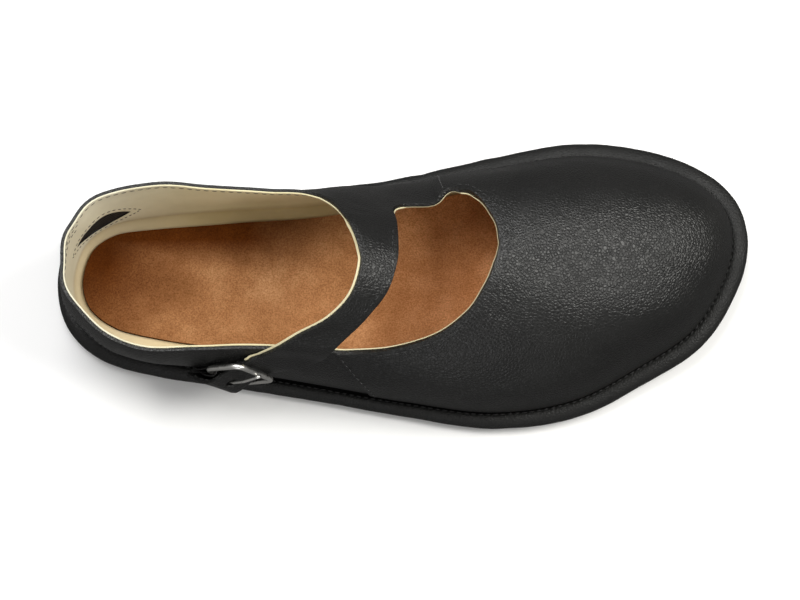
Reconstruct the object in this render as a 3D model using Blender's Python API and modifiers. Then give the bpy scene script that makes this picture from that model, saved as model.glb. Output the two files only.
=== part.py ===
"""Barefoot shoe for the right foot, with a lined leather upper, an instep strap and a buckle.

Metres, +Z up. +X points to the toe and +Y to the inner (medial) side of the foot.
The origin is on the floor below the centre of the sole's outline.
"""

import math
from bisect import bisect_right
from collections import namedtuple

import bmesh
import bpy
from mathutils import Vector

MM = 0.001

# Sole
SOLE_LENGTH = 250.0 * MM
BALL_WIDTH = 105.4 * MM
TREAD_THICKNESS = 3.0 * MM
TREAD_INSET = 5.3 * MM
RIM_CLEARANCE = 0.8 * MM
MIDSOLE_TOP = 8.0 * MM
RIM_BEAD = 0.9 * MM
RIM_WIDTH = 4.9 * MM
RIM_ROLL = 1.9 * MM
INSOLE_THICKNESS = 3.0 * MM
TOE_SPRING = 6.0 * MM
SPRING_START = 0.72
GAP = 0.3 * MM

# Upper
COLLAR_HEIGHT = 56.0 * MM
INSTEP_HEIGHT = 74.0 * MM
VAMP_WALL = 2.4 * MM
QUARTER_WALL = 1.7 * MM
FEATHER_RADIUS = 2.2 * MM
LINING = 0.5 * MM

# Elastic inserts
WINDOW_LENGTH = 23.0 * MM
WINDOW_HEIGHT = 13.0 * MM
Window = namedtuple("Window", "angle height")
WINDOWS = {"medial": Window(26.5, 27.0 * MM), "lateral": Window(335.5, 32.0 * MM)}
ELASTIC_THICKNESS = 1.0 * MM

# Strap and buckle
STRAP_WIDTH = 14.0 * MM
BUCKLE_FROM_HEEL = 68.0 * MM
BUCKLE_HEIGHT = 30.0 * MM
BUCKLE_SLOPE = math.radians(36.0)
FRAME_LENGTH = 15.0 * MM
FRAME_WIDTH = 19.4 * MM
FRAME_WIRE = 1.8 * MM
FRAME_CORNER = 3.0 * MM
PRONG_WIRE = 1.1 * MM
TAB_WIDTH = 12.4 * MM
TAB_THICKNESS = 0.8 * MM
TAB_LENGTH = 10.0 * MM
TAB_SLOT = 3.4 * MM
STRAP_HOLE = 3.6 * MM

# Easing of the wall round the strap's root
ROOT_REACH = 17.0 * MM
ROOT_ROUNDS = 6

# Mesh fineness
RING_STEP = 6.5 * MM
EDGE_STEP = 4.5 * MM
SOLE_STEP_DEGREES = 5.0
WALL_ROWS = 9
FILLET_ROWS = 2
STRAP_STEP = 3.6 * MM

# Outline of the sole, as shares of BALL_WIDTH. The angle runs from the heel (0) to the toe (180):
# the place along the foot is SOLE_LENGTH * (1 - cos(angle)) / 2.
Outline = namedtuple("Outline", "angle medial lateral")
OUTLINE = [
    Outline(0, 0.005, 0.005),
    Outline(15, 0.177, -0.149),
    Outline(30, 0.285, -0.257),
    Outline(45, 0.324, -0.313),
    Outline(60, 0.337, -0.351),
    Outline(75, 0.340, -0.398),
    Outline(90, 0.379, -0.453),
    Outline(105, 0.447, -0.4965),
    Outline(120, 0.4965, -0.459),
    Outline(135, 0.470, -0.340),
    Outline(150, 0.396, -0.215),
    Outline(165, 0.284, -0.031),
    Outline(180, 0.135, 0.135),
]

# Edge of collar and throat, along the line between leather and lining. The angle is that of the outline point
# below it, on through the toe (180) and back along the lateral side to the heel (360).
# along is a share of SOLE_LENGTH from the heel, across of BALL_WIDTH, height of COLLAR_HEIGHT.
Edge = namedtuple("Edge", "angle along across height")
TOPLINE = [
    Edge(0, 0.034, -0.005, 1.000),
    Edge(20, 0.043, 0.110, 0.991),
    Edge(36, 0.086, 0.221, 0.955),
    Edge(46, 0.154, 0.260, 0.911),
    Edge(58, 0.234, 0.251, 0.884),
    Edge(69, 0.316, 0.237, 0.895),
    Edge(75.5, 0.374, 0.221, 0.946),
    Edge(79.5, 0.408, 0.176, 1.054),
    Edge(82, 0.426, 0.119, 1.161),
    Edge(85.2, 0.489, 0.128, 1.027),
    Edge(86.6, 0.484, 0.175, 0.893),
    Edge(88.2, 0.488, 0.196, 0.827),
    Edge(90.6, 0.512, 0.199, 0.800),
    Edge(94, 0.552, 0.214, 0.786),
    Edge(95, 0.561, 0.238, 0.795),
    Edge(98.5, 0.584, 0.243, 0.804),
    Edge(105, 0.606, 0.217, 0.839),
    Edge(116, 0.625, 0.152, 0.911),
    Edge(138, 0.634, 0.070, 0.964),
    Edge(162, 0.633, 0.030, 0.982),
    Edge(186, 0.628, -0.008, 0.991),
    Edge(208, 0.614, -0.085, 0.973),
    Edge(225, 0.589, -0.169, 0.920),
    Edge(240, 0.546, -0.238, 0.857),
    Edge(254, 0.488, -0.275, 0.804),
    Edge(268, 0.429, -0.284, 0.777),
    Edge(280, 0.394, -0.282, 0.777),
    Edge(294, 0.293, -0.269, 0.813),
    Edge(305, 0.209, -0.277, 0.857),
    Edge(314, 0.147, -0.282, 0.893),
    Edge(325, 0.094, -0.240, 0.938),
    Edge(337, 0.054, -0.150, 0.986),
    Edge(350, 0.035, -0.073, 1.000),
]
STRAP_BACK_ANGLE = 82
STRAP_FRONT_ANGLE = 85.2

# Shape of the wall between feather and edge, a cubic curve in each section. foot widens the rim and so
# sets the wall's bottom in, as a share of BALL_WIDTH. bulge is the outward lean at the bottom and lean the
# one at the edge, both as shares of the wall's height, as are rise and drop, the lengths of the two
# handles. reach draws the upper handle towards the feather, as a share of the distance between feather
# and edge in plan.
Form = namedtuple("Form", "angle foot bulge rise reach lean drop")
WALL_FORM = [
    Form(0, 0.003, 0.02, 0.31, 0.00, 0.05, 0.35),
    Form(30, 0.028, -0.07, 0.36, 0.00, 0.03, 0.33),
    Form(55, 0.027, 0.02, 0.35, 0.02, 0.03, 0.30),
    Form(72, 0.012, 0.08, 0.42, 0.14, 0.01, 0.26),
    Form(81, 0.004, 0.07, 0.46, 0.40, 0.00, 0.18),
    Form(85.2, 0.000, 0.05, 0.41, 0.28, 0.00, 0.20),
    Form(91, 0.000, 0.03, 0.42, 0.30, 0.00, 0.24),
    Form(100, 0.010, -0.06, 0.46, 0.45, 0.00, 0.15),
    Form(125, 0.020, -0.14, 0.47, 0.52, 0.00, 0.17),
    Form(155, 0.021, -0.10, 0.50, 0.58, 0.00, 0.32),
    Form(190, 0.020, -0.04, 0.52, 0.60, 0.00, 0.36),
    Form(225, 0.015, -0.03, 0.53, 0.55, 0.00, 0.20),
    Form(250, 0.008, 0.00, 0.50, 0.45, 0.00, 0.18),
    Form(272, 0.000, 0.06, 0.44, 0.25, 0.03, 0.28),
    Form(295, 0.004, 0.09, 0.34, 0.00, 0.09, 0.33),
    Form(325, 0.012, 0.11, 0.30, 0.00, 0.09, 0.35),
]

# Distance of the insole's edge from the sole's outline, as shares of BALL_WIDTH
Inset = namedtuple("Inset", "angle inset")
INSOLE_INSET = [
    Inset(0, 0.095),
    Inset(28, 0.125),
    Inset(50, 0.136),
    Inset(80, 0.110),
    Inset(110, 0.114),
    Inset(140, 0.126),
    Inset(180, 0.126),
    Inset(220, 0.121),
    Inset(250, 0.110),
    Inset(280, 0.115),
    Inset(310, 0.122),
    Inset(332, 0.114),
]

# Angles between which the vamp lies over the quarters
VAMP_START_ANGLE = 94.0
VAMP_END_ANGLE = 276.0
SEAM_ANGLE = 1.0

# The free stretch of the strap over the instep, on its inner face: both its edges as shares of
# SOLE_LENGTH, BALL_WIDTH and INSTEP_HEIGHT.
Bridge = namedtuple("Bridge", "back_along back_across back_height front_along front_across front_height")
STRAP_BRIDGE = [
    Bridge(0.441, 0.020, 0.962, 0.494, 0.045, 0.878),
    Bridge(0.441, -0.060, 0.985, 0.490, -0.040, 0.908),
    Bridge(0.430, -0.135, 0.962, 0.480, -0.115, 0.910),
    Bridge(0.401, -0.202, 0.895, 0.455, -0.187, 0.862),
    Bridge(0.358, -0.246, 0.795, 0.425, -0.247, 0.765),
    Bridge(0.325, -0.280, 0.700, 0.400, -0.292, 0.670),
]

# The seated stretch, in the buckle's own directions: places along the strap for its back and front
# edges, as shares of FRAME_LENGTH from the buckle's centre.
Seat = namedtuple("Seat", "back front lift")
SEAT_ON_QUARTER = [
    Seat(-0.95, -1.95, 0.5 * MM),
    Seat(-0.68, -1.12, 0.5 * MM),
    Seat(-0.52, -0.52, 0.5 * MM),
    Seat(-0.32, -0.32, 0.5 * MM),
    Seat(-0.08, -0.08, 1.3 * MM),
    Seat(0.20, 0.20, 3.4 * MM),
    Seat(0.50, 0.50, 5.6 * MM),
    Seat(0.80, 0.80, 4.6 * MM),
    Seat(1.03, 1.03, 2.8 * MM),
    Seat(1.22, 1.22, 2.0 * MM),
]

BLACK_LEATHER = ((0.018, 0.018, 0.020), 0.42, 0.0)
TREAD_RUBBER = ((0.012, 0.012, 0.013), 0.75, 0.0)
BROWN_SUEDE = ((0.29, 0.135, 0.055), 0.9, 0.0)
BLACK_ELASTIC = ((0.010, 0.010, 0.011), 0.8, 0.0)
SILVER = ((0.62, 0.62, 0.63), 0.25, 1.0)


# Tables read as smooth curves

def smooth(keys, values, at):
    """Cubic curve through the values, read at one key."""
    low = min(max(bisect_right(keys, at) - 1, 0), len(keys) - 2)

    def slope(index):
        before, after = max(index - 1, 0), min(index + 1, len(keys) - 1)
        left, right = keys[index] - keys[before], keys[after] - keys[index]
        if not left or not right:
            return (values[after] - values[before]) / (left + right)
        rise_before = (values[index] - values[before]) / left
        rise_after = (values[after] - values[index]) / right
        return (rise_before * right + rise_after * left) / (left + right)

    span = keys[low + 1] - keys[low]
    t = (at - keys[low]) / span
    blend = t * t * (3 - 2 * t)
    return (values[low] * (1 - blend) + values[low + 1] * blend
            + slope(low) * span * t * (1 - t) ** 2
            - slope(low + 1) * span * t * t * (1 - t))


def around(rows, column):
    """A column of a table that goes once round the shoe, as a function of the angle."""
    keys = [row.angle for row in rows]
    values = [getattr(row, column) for row in rows]
    keys = [key - 360 for key in keys[-3:]] + keys + [key + 360 for key in keys[:3]]
    values = values[-3:] + values + values[:3]
    return lambda angle: smooth(keys, values, angle % 360)


Side = namedtuple("Side", "angle across")
SIDES = [Side(row.angle, row.medial) for row in OUTLINE]
SIDES += [Side(360 - row.angle, row.lateral) for row in reversed(OUTLINE[1:-1])]
outline_across = around(SIDES, "across")
edge_along = around(TOPLINE, "along")
edge_across = around(TOPLINE, "across")
edge_height = around(TOPLINE, "height")
form = {name: around(WALL_FORM, name) for name in ("foot", "bulge", "rise", "reach", "lean", "drop")}
insole_inset = around(INSOLE_INSET, "inset")


# The last's shape

def spring(x):
    """Height of the toe spring at a place along the foot."""
    start = (SPRING_START - 0.5) * SOLE_LENGTH
    share = max(0.0, (x - start) / (SOLE_LENGTH / 2 - start))
    return TOE_SPRING * share * share


def outline(angle):
    x = -SOLE_LENGTH * math.cos(math.radians(angle)) / 2
    return Vector((x, outline_across(angle) * BALL_WIDTH, 0))


def outward(angle):
    """Unit vector square to the outline, away from the foot."""
    along = outline(angle + 0.5) - outline(angle - 0.5)
    return Vector((-along.y, along.x, 0)).normalized()


def inset(angle, distance, height):
    """A point inside the outline, at a height above the sprung sole."""
    point = outline(angle) - outward(angle) * distance
    point.z = height + spring(point.x)
    return point


def edge_line(angle):
    return Vector(((edge_along(angle) - 0.5) * SOLE_LENGTH,
                   edge_across(angle) * BALL_WIDTH,
                   edge_height(angle) * COLLAR_HEIGHT))


def edge_point(angle):
    """The lining lies inside the line between leather and lining."""
    along = edge_line(angle + 1.5) - edge_line(angle - 1.5)
    return edge_line(angle) + Vector((along.y, -along.x, 0)).normalized() * LINING


def wall_thickness(angle):
    """Leather and lining together: the vamp lies over the quarters."""
    start, end = VAMP_START_ANGLE, VAMP_END_ANGLE
    cover = min((angle - start) / SEAM_ANGLE, (end - angle) / SEAM_ANGLE)
    return QUARTER_WALL + (VAMP_WALL - QUARTER_WALL) * min(max(cover, 0.0), 1.0)


FLANGE_TOP = MIDSOLE_TOP + GAP + QUARTER_WALL


def groove(angle):
    """Distance of the groove between rim and upper from the outline."""
    return RIM_WIDTH + form["foot"](angle) * BALL_WIDTH


def upper_point(angle, level):
    """Inner face of the upper: 0 to 1 lasting margin, 1 to 2 fillet, 2 to 3 wall."""
    margin = insole_inset(angle) * BALL_WIDTH - GAP
    feather = groove(angle) + QUARTER_WALL
    bend = feather + FEATHER_RADIUS
    if level <= 1:
        return inset(angle, margin + (bend - margin) * level, FLANGE_TOP)
    if level <= 2:
        turn = (level - 1) * math.pi / 2
        return inset(angle, bend - FEATHER_RADIUS * math.sin(turn),
                     FLANGE_TOP + FEATHER_RADIUS * (1 - math.cos(turn)))
    foot = inset(angle, feather, FLANGE_TOP + FEATHER_RADIUS)
    edge = edge_point(angle)
    height = edge.z - foot.z
    out = outward(angle)
    to_foot = Vector((foot.x - edge.x, foot.y - edge.y, 0))
    low = foot + out * form["bulge"](angle) * height
    low.z += form["rise"](angle) * height
    high = edge + to_foot * form["reach"](angle) + out * form["lean"](angle) * height
    high.z -= form["drop"](angle) * height
    t = level - 2
    return (foot * (1 - t) ** 3 + low * 3 * t * (1 - t) ** 2
            + high * 3 * t * t * (1 - t) + edge * t ** 3)


def upper_normal(angle, level):
    """Unit vector out of the shoe."""
    along = upper_point(angle + 0.2, level) - upper_point(angle - 0.2, level)
    lower, upper = max(level - 0.01, 2.0), min(level + 0.01, 3.0)
    up = upper_point(angle, upper) - upper_point(angle, lower)
    return up.cross(along).normalized()


def outer_point(angle, level):
    return upper_point(angle, level) + upper_normal(angle, level) * wall_thickness(angle)


# The buckle's place on the lateral quarter

def solve_on_wall(residual, angle, level):
    """Angle and level where both residuals vanish, by Newton steps."""
    step = 0.01
    for _ in range(12):
        here = residual(angle, level)
        by_angle = [(b - a) / step for a, b in zip(here, residual(angle + step, level))]
        by_level = [(b - a) / step for a, b in zip(here, residual(angle, level + step))]
        scale = by_angle[0] * by_level[1] - by_angle[1] * by_level[0]
        angle -= (here[0] * by_level[1] - here[1] * by_level[0]) / scale
        level -= (by_angle[0] * here[1] - by_angle[1] * here[0]) / scale
    return angle, level


def wall_seat(x, z, angle, level=2.5):
    """Point and normal of the outer wall at a place along the foot and a height."""
    def residual(a, b):
        point = outer_point(a, b)
        return point.x - x, point.z - z
    angle, level = solve_on_wall(residual, angle, level)
    return outer_point(angle, level), upper_normal(angle, level), angle, level


UP = Vector((0, 0, 1))
LATERAL_ANGLE = 297.0
BUCKLE_X = BUCKLE_FROM_HEEL - SOLE_LENGTH / 2
SEAT, SEAT_NORMAL, SEAT_ANGLE, SEAT_LEVEL = wall_seat(BUCKLE_X, BUCKLE_HEIGHT, LATERAL_ANGLE)
SEAT_FORE = UP.cross(SEAT_NORMAL).normalized()
SEAT_RISE = SEAT_NORMAL.cross(SEAT_FORE)
STRAP_RUN = -SEAT_FORE * math.cos(BUCKLE_SLOPE) - SEAT_RISE * math.sin(BUCKLE_SLOPE)
STRAP_SIDE = SEAT_FORE * math.sin(BUCKLE_SLOPE) - SEAT_RISE * math.cos(BUCKLE_SLOPE)


def on_quarter(along, across, lift):
    """A point over the outer wall, in the buckle's own directions."""
    flat = SEAT + STRAP_RUN * along + STRAP_SIDE * across

    def residual(angle, level):
        offset = outer_point(angle, level) - flat
        return offset.dot(SEAT_FORE), offset.dot(SEAT_RISE)

    angle, level = solve_on_wall(residual, SEAT_ANGLE, SEAT_LEVEL)
    return outer_point(angle, level) + SEAT_NORMAL * lift


def over_buckle(along, across, lift):
    """A point on a line straight across the strap, in line with the bars beside them."""
    beside = max(0.0, abs(along) / FRAME_LENGTH - 0.55)
    lie = (on_quarter(along, 5 * MM, 0) - on_quarter(along, -5 * MM, 0)).normalized()
    side = STRAP_SIDE.lerp(lie, min(1.0, beside * 2)).normalized()
    return on_quarter(along, 0, lift) + side * across


STRAP_LIFT = 0.5 * MM
TAB_LIFT = 0.7 * MM
HINGE_LIFT = TAB_LIFT + TAB_THICKNESS + GAP + FRAME_WIRE / 2
FREE_LIFT = STRAP_LIFT + QUARTER_WALL + 2 * GAP + FRAME_WIRE / 2
HINGE = on_quarter(FRAME_LENGTH / 2, 0, HINGE_LIFT)
FREE_BAR = on_quarter(-FRAME_LENGTH / 2, 0, FREE_LIFT)


# Building blocks

def clear_scene():
    for item in list(bpy.data.objects):
        bpy.data.objects.remove(item, do_unlink=True)


def collection(name):
    made = bpy.data.collections.new(name)
    bpy.context.scene.collection.children.link(made)
    return made


def material(name, finish):
    colour, roughness, metallic = finish
    made = bpy.data.materials.new(name)
    made.use_nodes = True
    shader = made.node_tree.nodes["Principled BSDF"]
    shader.inputs["Base Color"].default_value = (*colour, 1)
    shader.inputs["Roughness"].default_value = roughness
    shader.inputs["Metallic"].default_value = metallic
    return made


def add_object(name, bm, finish, group):
    """One object from a finished bmesh, with its faces pointing out."""
    mesh = bpy.data.meshes.new(name)
    bmesh.ops.recalc_face_normals(bm, faces=bm.faces)
    bm.to_mesh(mesh)
    bm.free()
    mesh.shade_smooth()
    made = bpy.data.objects.new(name, mesh)
    made.data.materials.append(material(name + "_material", finish))
    group.objects.link(made)
    return made


def mapped_grid(bm, columns, rows, place):
    """A grid whose vertices are placed by their column and row numbers."""
    before = set(bm.verts)
    bmesh.ops.create_grid(bm, x_segments=columns, y_segments=rows, size=1)
    grid = [vert for vert in bm.verts if vert not in before]
    for vert in grid:
        column = round((vert.co.x + 1) / 2 * columns)
        row = round((vert.co.y + 1) / 2 * rows)
        vert.co = place(column, row)
    return grid


def weld(bm):
    bmesh.ops.remove_doubles(bm, verts=bm.verts, dist=0.00001)


def solidify(made, thickness, offset):
    shell = made.modifiers.new("Thickness", "SOLIDIFY")
    shell.thickness = thickness
    shell.offset = offset
    shell.use_even_offset = True
    shell.use_quality_normals = True
    return shell


def cut(made, cutter):
    hole = made.modifiers.new("Cut", "BOOLEAN")
    hole.operation = "DIFFERENCE"
    hole.solver = "EXACT"
    hole.object = cutter


# Sole

def sole_angles():
    count = round(360 / SOLE_STEP_DEGREES)
    return [index * 360 / count for index in range(count + 1)]


def across_sole(bm, loop):
    """Close a ring by strips from side to side, which follow the toe spring."""
    count = len(loop)
    for index in range(count // 2):
        corners = [loop[index], loop[index + 1], loop[-index - 1], loop[-index]]
        unique = list(dict.fromkeys(corners))
        bm.faces.new(unique)


def ring_body(name, profile, finish, group):
    """A body turned along the outline from a profile of (inset, height) pairs, closed at both ends."""
    angles = sole_angles()
    bm = bmesh.new()
    mapped_grid(bm, len(angles) - 1, len(profile) - 1,
                lambda column, row: inset(angles[column], profile[row][0](angles[column]), profile[row][1]))
    weld(bm)
    for edges in open_loops(bm):
        across_sole(bm, edges)
    return add_object(name, bm, finish, group)


def open_loops(bm):
    """The ordered boundary rings, each starting at the heel and going round by the medial side."""
    left = {edge for edge in bm.edges if edge.is_boundary}
    loops = []
    while left:
        edge = left.pop()
        ring = [edge.verts[0], edge.verts[1]]
        while True:
            following = next((other for other in ring[-1].link_edges if other in left), None)
            if following is None:
                break
            left.discard(following)
            vert = following.other_vert(ring[-1])
            if vert is ring[0]:
                break
            ring.append(vert)
        heel = min(range(len(ring)), key=lambda index: ring[index].co.x)
        ring = ring[heel:] + ring[:heel]
        if ring[1].co.y < ring[-1].co.y:
            ring = [ring[0]] + ring[:0:-1]
        loops.append(ring)
    return loops


def fixed(distance):
    return lambda angle: distance


def build_outsole(group):
    profile = [
        (fixed(TREAD_INSET + 0.6 * MM), 0),
        (fixed(TREAD_INSET), 0.6 * MM),
        (fixed(TREAD_INSET), TREAD_THICKNESS),
    ]
    return ring_body("outsole", profile, TREAD_RUBBER, group)


def rolled(share):
    """Distance on the rim's upper half, as a share of the way from the outline to the roll's top."""
    return lambda angle: (groove(angle) - RIM_ROLL) * share


def build_midsole(group):
    """The rim bulges to the outline half way up and rolls over into the feather groove."""
    recess = TREAD_INSET - 1.0 * MM
    ceiling = TREAD_THICKNESS + GAP
    middle = (RIM_CLEARANCE + MIDSOLE_TOP + RIM_BEAD) / 2
    half_height = (MIDSOLE_TOP + RIM_BEAD - RIM_CLEARANCE) / 2
    below = RIM_WIDTH - RIM_ROLL
    profile = [(fixed(recess), ceiling), (fixed(recess), RIM_CLEARANCE)]
    for turn in range(0, 91, 30):
        swing = math.radians(turn)
        profile.append((fixed(below * (1 - math.sin(swing))), middle - half_height * math.cos(swing)))
    for turn in range(120, 181, 30):
        swing = math.radians(turn)
        profile.append((rolled(1 - math.sin(swing)), middle - half_height * math.cos(swing)))
    profile.append((groove, MIDSOLE_TOP))
    return ring_body("wrapped_midsole", profile, BLACK_LEATHER, group)


def build_insole(group):
    bottom = MIDSOLE_TOP + GAP

    def edge(angle):
        return insole_inset(angle) * BALL_WIDTH

    def eased(angle):
        return edge(angle) + 0.7 * MM

    top = bottom + INSOLE_THICKNESS
    profile = [(edge, bottom), (edge, top - 0.7 * MM), (eased, top)]
    return ring_body("insole", profile, BROWN_SUEDE, group)


# Upper

def ring_stations():
    """Angles round the upper, closer together where the edge turns tightly."""
    angles = []
    marks = [row.angle for row in TOPLINE] + [360]
    seams = [VAMP_START_ANGLE + SEAM_ANGLE, VAMP_END_ANGLE, VAMP_END_ANGLE - SEAM_ANGLE]
    marks = sorted(set(marks + seams))
    for low, high in zip(marks, marks[1:]):
        edge_run = (edge_point(high) - edge_point(low)).length
        foot_run = (outline(high) - outline(low)).length
        count = max(1, round(edge_run / EDGE_STEP), round(foot_run / RING_STEP))
        angles += [low + (high - low) * index / count for index in range(count)]
    return angles + [360]


def upper_levels():
    levels = [0.0, 1.0]
    levels += [1 + (index + 1) / FILLET_ROWS for index in range(FILLET_ROWS)]
    levels += [2 + (index + 1) / WALL_ROWS for index in range(WALL_ROWS)]
    return levels


def strap_sections():
    """Both edges of the strap's inner face, from the medial quarter to the tip."""
    sections = []
    for row in STRAP_BRIDGE:
        back = Vector(((row.back_along - 0.5) * SOLE_LENGTH, row.back_across * BALL_WIDTH,
                       row.back_height * INSTEP_HEIGHT))
        front = Vector(((row.front_along - 0.5) * SOLE_LENGTH, row.front_across * BALL_WIDTH,
                        row.front_height * INSTEP_HEIGHT))
        sections.append(lambda share, back=back, front=front: back.lerp(front, share))
    for row in SEAT_ON_QUARTER:
        def seated(share, row=row):
            along = (row.back + (row.front - row.back) * share) * FRAME_LENGTH
            place = over_buckle if row.back == row.front else on_quarter
            return place(along, (share - 0.5) * STRAP_WIDTH, row.lift)
        sections.append(seated)
    return sections


def strap_path(angle, sections):
    """One line of the strap from its root on the quarter to the tip, with the places of its rows."""
    share = (angle - STRAP_BACK_ANGLE) / (STRAP_FRONT_ANGLE - STRAP_BACK_ANGLE)
    points = [upper_point(angle, 2.8), upper_point(angle, 3.0)]
    points += [section(share) for section in sections]
    return points


def path_reader(points, marks):
    columns = [[point[axis] for point in points] for axis in range(3)]
    return lambda at: Vector([smooth(marks, column, at) for column in columns])


def build_upper(group, cutters):
    angles = ring_stations()
    levels = upper_levels()
    bm = bmesh.new()
    mapped_grid(bm, len(angles) - 1, len(levels) - 1,
                lambda column, row: upper_point(angles[column] % 360, levels[row]))
    strap_angles = [angle for angle in angles if STRAP_BACK_ANGLE <= angle <= STRAP_FRONT_ANGLE]
    sections = strap_sections()
    middle = strap_path((STRAP_BACK_ANGLE + STRAP_FRONT_ANGLE) / 2, sections)
    marks = [0.0]
    for first, second in zip(middle, middle[1:]):
        marks.append(marks[-1] + (second - first).length)
    rows = round((marks[-1] - marks[1]) / STRAP_STEP)
    readers = [path_reader(strap_path(angle, sections), marks) for angle in strap_angles]
    mapped_grid(bm, len(strap_angles) - 1, rows,
                lambda column, row: readers[column](marks[1] + (marks[-1] - marks[1]) * row / rows))
    weld(bm)
    made = add_object("upper", bm, BLACK_LEATHER, group)
    weigh_vamp(made)
    ease_root(made)
    flip_outward(made)
    shell = solidify(made, VAMP_WALL, 1)
    shell.vertex_group = "leather"
    shell.thickness_vertex_group = 0
    for side, window in WINDOWS.items():
        cut(made, window_prism("window_" + side, window, 0, cutters))
    cut(made, strap_hole(cutters))
    return made


def ease_root(made):
    """Smooth the leather where the strap leaves the quarter, with its edges left in place."""
    root = edge_point(STRAP_FRONT_ANGLE)
    bm = bmesh.new()
    bm.from_mesh(made.data)
    near = [vert for vert in bm.verts if not vert.is_boundary and (vert.co - root).length < ROOT_REACH]
    for _ in range(ROOT_ROUNDS):
        bmesh.ops.smooth_vert(bm, verts=near, factor=0.5, use_axis_x=True, use_axis_y=True, use_axis_z=True)
    bm.to_mesh(made.data)
    bm.free()


def flip_outward(made):
    """Point an open shell's faces away from the foot."""
    bm = bmesh.new()
    bm.from_mesh(made.data)
    heel = min(bm.faces, key=lambda face: face.calc_center_median().x)
    if heel.normal.x > 0:
        bmesh.ops.reverse_faces(bm, faces=bm.faces)
    bm.to_mesh(made.data)
    bm.free()


def weigh_vamp(made):
    """Thickness shares: the vamp is full, the rest is the quarter's wall."""
    leather = made.vertex_groups.new(name="leather")
    lookup = {}
    for angle in ring_stations():
        for level in upper_levels():
            point = upper_point(angle % 360, level)
            cover = min(max(level - 1, 0), 1)
            thickness = QUARTER_WALL + (wall_thickness(angle % 360) - QUARTER_WALL) * cover
            lookup[tuple(round(value, 5) for value in point)] = thickness
    for vert in made.data.vertices:
        thickness = lookup.get(tuple(round(value, 5) for value in vert.co), QUARTER_WALL)
        leather.add([vert.index], thickness / VAMP_WALL, "REPLACE")


# Windows and elastic

def window_outline(shrink):
    """Lens of two arcs, as places along and up."""
    half_length = WINDOW_LENGTH / 2 - shrink * 1.6
    half_height = WINDOW_HEIGHT / 2 - shrink
    steps = 14
    points = []
    for index in range(2 * steps):
        turn = index / steps
        place = 1 - 2 * (turn % 1)
        height = 1 - place * place
        if turn < 1:
            points.append((place * half_length, height * half_height))
        else:
            points.append((-place * half_length, -height * half_height))
    return points


def window_prism(name, window, shrink, cutters):
    """A lens-shaped prism through the wall at the side of the heel."""
    def residual(a, b):
        return outer_point(a, b).z - window.height, (a - window.angle) * MM
    seat_angle, seat_level = solve_on_wall(residual, window.angle, 2.45)
    centre = upper_point(seat_angle, seat_level)
    normal = upper_normal(seat_angle, seat_level)
    fore = UP.cross(normal).normalized()
    rise = normal.cross(fore)
    reach = 9.0 * MM
    bm = bmesh.new()
    verts = []
    for along, up in window_outline(shrink):
        verts.append(bm.verts.new(centre + fore * along + rise * up - normal * reach))
    bottom = bm.faces.new(verts)
    wall = bmesh.ops.extrude_face_region(bm, geom=[bottom])
    top = [item for item in wall["geom"] if isinstance(item, bmesh.types.BMVert)]
    bmesh.ops.translate(bm, verts=top, vec=normal * reach * 2)
    made = add_object(name, bm, BLACK_ELASTIC, cutters)
    hide_cutter(made)
    return made


def hide_cutter(made):
    made.hide_render = True
    made.display_type = "WIRE"


def build_elastic(side, window, group, cutters):
    """A thin patch of the wall's own surface, cut to the window less the gap."""
    columns, rows = 10, 8
    spread = 15.0
    bm = bmesh.new()
    inner = (QUARTER_WALL - ELASTIC_THICKNESS) / 2

    def place(column, row):
        a = window.angle + spread * (2 * column / columns - 1)
        b = 2.04 + 0.85 * row / rows
        return upper_point(a % 360, b) + upper_normal(a % 360, b) * inner

    mapped_grid(bm, columns, rows, place)
    made = add_object("heel_elastic_" + side, bm, BLACK_ELASTIC, group)
    flip_outward(made)
    solidify(made, ELASTIC_THICKNESS, 1)
    trim = made.modifiers.new("Trim", "BOOLEAN")
    trim.operation = "INTERSECT"
    trim.solver = "EXACT"
    trim.object = window_prism("elastic_outline_" + side, window, GAP, cutters)
    return made


# Buckle

def wire(name, points, radius, cyclic, finish, group):
    curve = bpy.data.curves.new(name, "CURVE")
    curve.dimensions = "3D"
    curve.bevel_depth = radius
    curve.bevel_resolution = 2
    curve.use_fill_caps = True
    spline = curve.splines.new("POLY")
    spline.points.add(len(points) - 1)
    for target, point in zip(spline.points, points):
        target.co = (*point, 1)
    spline.use_cyclic_u = cyclic
    made = bpy.data.objects.new(name, curve)
    made.data.materials.append(material(name + "_material", finish))
    group.objects.link(made)
    return made


def build_frame(group):
    """A rounded rectangle of wire through both bars."""
    centre = (HINGE + FREE_BAR) / 2
    along = (HINGE - FREE_BAR).normalized()
    half_length = (HINGE - FREE_BAR).length / 2 - FRAME_CORNER
    half_width = FRAME_WIDTH / 2 - FRAME_CORNER
    points = []
    for quarter, (run, side) in enumerate(((1, 1), (-1, 1), (-1, -1), (1, -1))):
        corner = centre + along * run * half_length + STRAP_SIDE * side * half_width
        for step in range(5):
            turn = math.radians(90 * quarter + 22.5 * step)
            points.append(corner + (along * math.cos(turn) + STRAP_SIDE * math.sin(turn)) * FRAME_CORNER)
    return wire("buckle_frame", points, FRAME_WIRE / 2, True, SILVER, group)


def prong_points():
    """An eye round the hinge bar, then up through the strap and along to the free bar."""
    eye = FRAME_WIRE / 2 + 0.25 * MM + PRONG_WIRE / 2
    points = []
    for step in range(13):
        turn = math.radians(125 - 25.4 * step)
        points.append(HINGE + STRAP_RUN * eye * math.cos(turn) + SEAT_NORMAL * eye * math.sin(turn))
    for share, lift in ((0.14, 0.7), (0.21, 1.3), (0.33, 1.65), (0.63, 1.6), (1.0, 1.0), (1.12, 0.85)):
        points.append(HINGE.lerp(FREE_BAR, share) + SEAT_NORMAL * eye * lift)
    return points


def build_prong(group):
    return wire("buckle_prong", prong_points(), PRONG_WIRE / 2, False, SILVER, group)


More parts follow.
